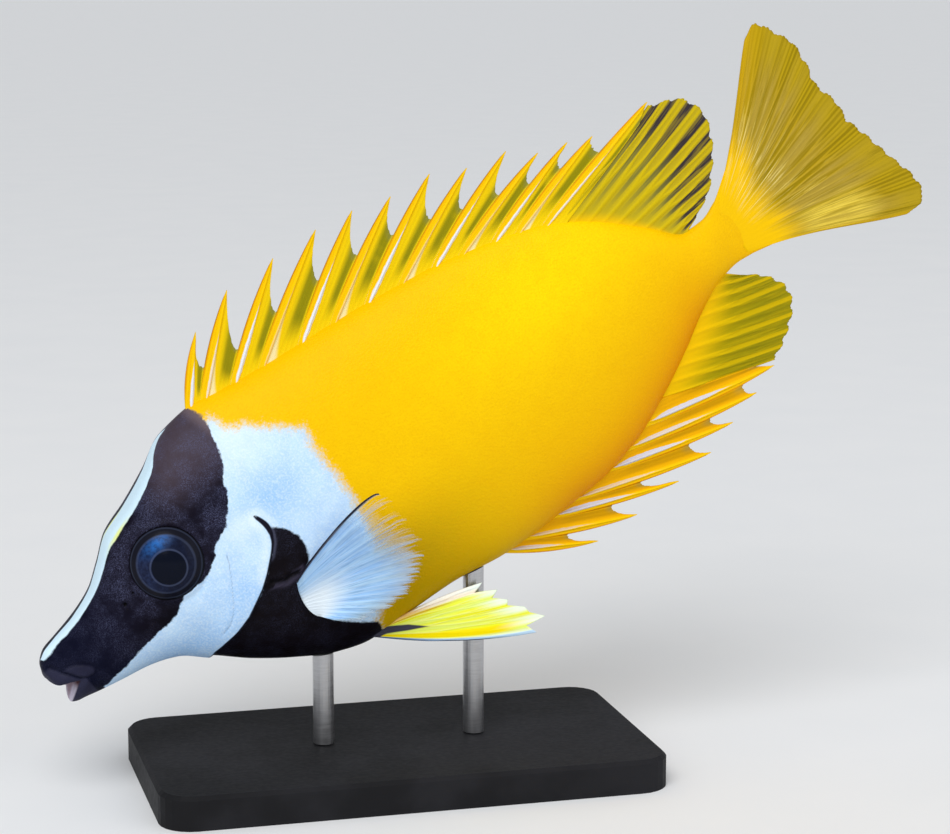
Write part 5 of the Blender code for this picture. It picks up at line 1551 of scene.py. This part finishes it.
def rod_paint():
    paint = Paint("rod_paint", 0.3, Metallic=1.0)
    place = paint.add("ShaderNodeTexCoord").outputs["Object"]
    stretch = paint.add("ShaderNodeMapping", (("Vector", place),
                                              ("Scale", (300.0, 300.0, 4000.0))))
    lines = paint.noise(stretch.outputs["Vector"], 1.0, 3.0)
    base = paint.over(colour(168, 168, 170), lines, colour(206, 206, 208))
    paint.base(base)
    paint.put(paint.shader, "Roughness", paint.scaled(lines, 0.22, 0.22))
    paint.bump(lines, 0.08, 0.0001)
    return paint.material


def dress_stand():
    rod = rod_paint()
    paints = {"stand_base": stand_paint(), "stand_rod_front": rod, "stand_rod_back": rod}
    for name, material in paints.items():
        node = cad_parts[name]
        if not node.material_slots:
            node.data.materials.append(material)
        for slot in node.material_slots:
            slot.material = material


# Stage, light and camera
CAMERA_AZIMUTH_DEG = -15.0
CAMERA_ELEVATION_DEG = 10.0
CAMERA_DISTANCE = 0.55
CAMERA_LENS = 100.0
FLOOR_HALF = 40.0
WORLD_COLOUR = (0.86, 0.89, 0.93, 1.0)
WORLD_STRENGTH = 0.50
SUN_WAY = (0.25, 0.55, -0.80)
SUN_ENERGY = 1.25
SUN_ANGLE_DEG = 40.0
LAMP_AIM = (0.02, 0.0, 0.08)
LAMP_SIZE = 0.9
# Name, place and power of each area lamp
LAMPS = (("key", (-0.55, -0.85, 0.75), 4.0), ("fill", (0.85, -0.75, 0.5), 2.2))


def make_floor():
    r = FLOOR_HALF
    mesh = bpy.data.meshes.new("floor")
    mesh.from_pydata([(-r, -r, 0), (r, -r, 0), (r, r, 0), (-r, r, 0)], [], [(0, 1, 2, 3)])
    floor = bpy.data.objects.new("floor", mesh)
    bpy.context.scene.collection.objects.link(floor)
    paint = Paint("floor_paint", 0.8)
    place = paint.add("ShaderNodeTexCoord").outputs["Object"]
    grain = paint.noise(place, 30.0)
    paint.base(paint.over(colour(236, 237, 238), grain, colour(241, 241, 241)))
    mesh.materials.append(paint.material)


def add_lamp(name, kind, energy, way, place=(0.0, 0.0, 0.0)):
    light = bpy.data.lights.new(name, kind)
    light.energy = energy
    lamp = bpy.data.objects.new(name, light)
    lamp.location = place
    lamp.rotation_euler = way.to_track_quat("-Z", "Y").to_euler()
    bpy.context.scene.collection.objects.link(lamp)
    return light


def make_light():
    world = bpy.data.worlds.new("studio")
    world.use_nodes = True
    shade = world.node_tree.nodes["Background"]
    shade.inputs["Color"].default_value = WORLD_COLOUR
    shade.inputs["Strength"].default_value = WORLD_STRENGTH
    bpy.context.scene.world = world
    bpy.context.scene.view_settings.view_transform = "Standard"
    add_lamp("sky", "SUN", SUN_ENERGY, Vector(SUN_WAY)).angle = math.radians(SUN_ANGLE_DEG)
    for name, place, power in LAMPS:
        add_lamp(name, "AREA", power, Vector(LAMP_AIM) - Vector(place), place).size = LAMP_SIZE


def make_camera():
    a = math.radians(CAMERA_AZIMUTH_DEG)
    e = math.radians(CAMERA_ELEVATION_DEG)
    back = Vector((math.sin(a) * math.cos(e), -math.cos(a) * math.cos(e), math.sin(e)))
    right = Vector((math.cos(a), math.sin(a), 0.0))
    up = back.cross(right)
    target = Vector((PIVOT_X, 0.0, PIVOT_Z)) * MM
    data = bpy.data.cameras.new("camera")
    data.lens = CAMERA_LENS
    data.sensor_width = 36.0
    data.clip_start = 0.01
    camera = bpy.data.objects.new("camera", data)
    turn = Matrix((right, up, back)).transposed().to_4x4()
    camera.matrix_world = Matrix.Translation(target + back * CAMERA_DISTANCE) @ turn
    bpy.context.scene.collection.objects.link(camera)
    bpy.context.scene.camera = camera


make_camera()
make_fish_skin()
make_spiny_fins()
make_soft_fins()
make_pectorals()
make_pelvics()
make_eyes()
dress_stand()
make_floor()
make_light()
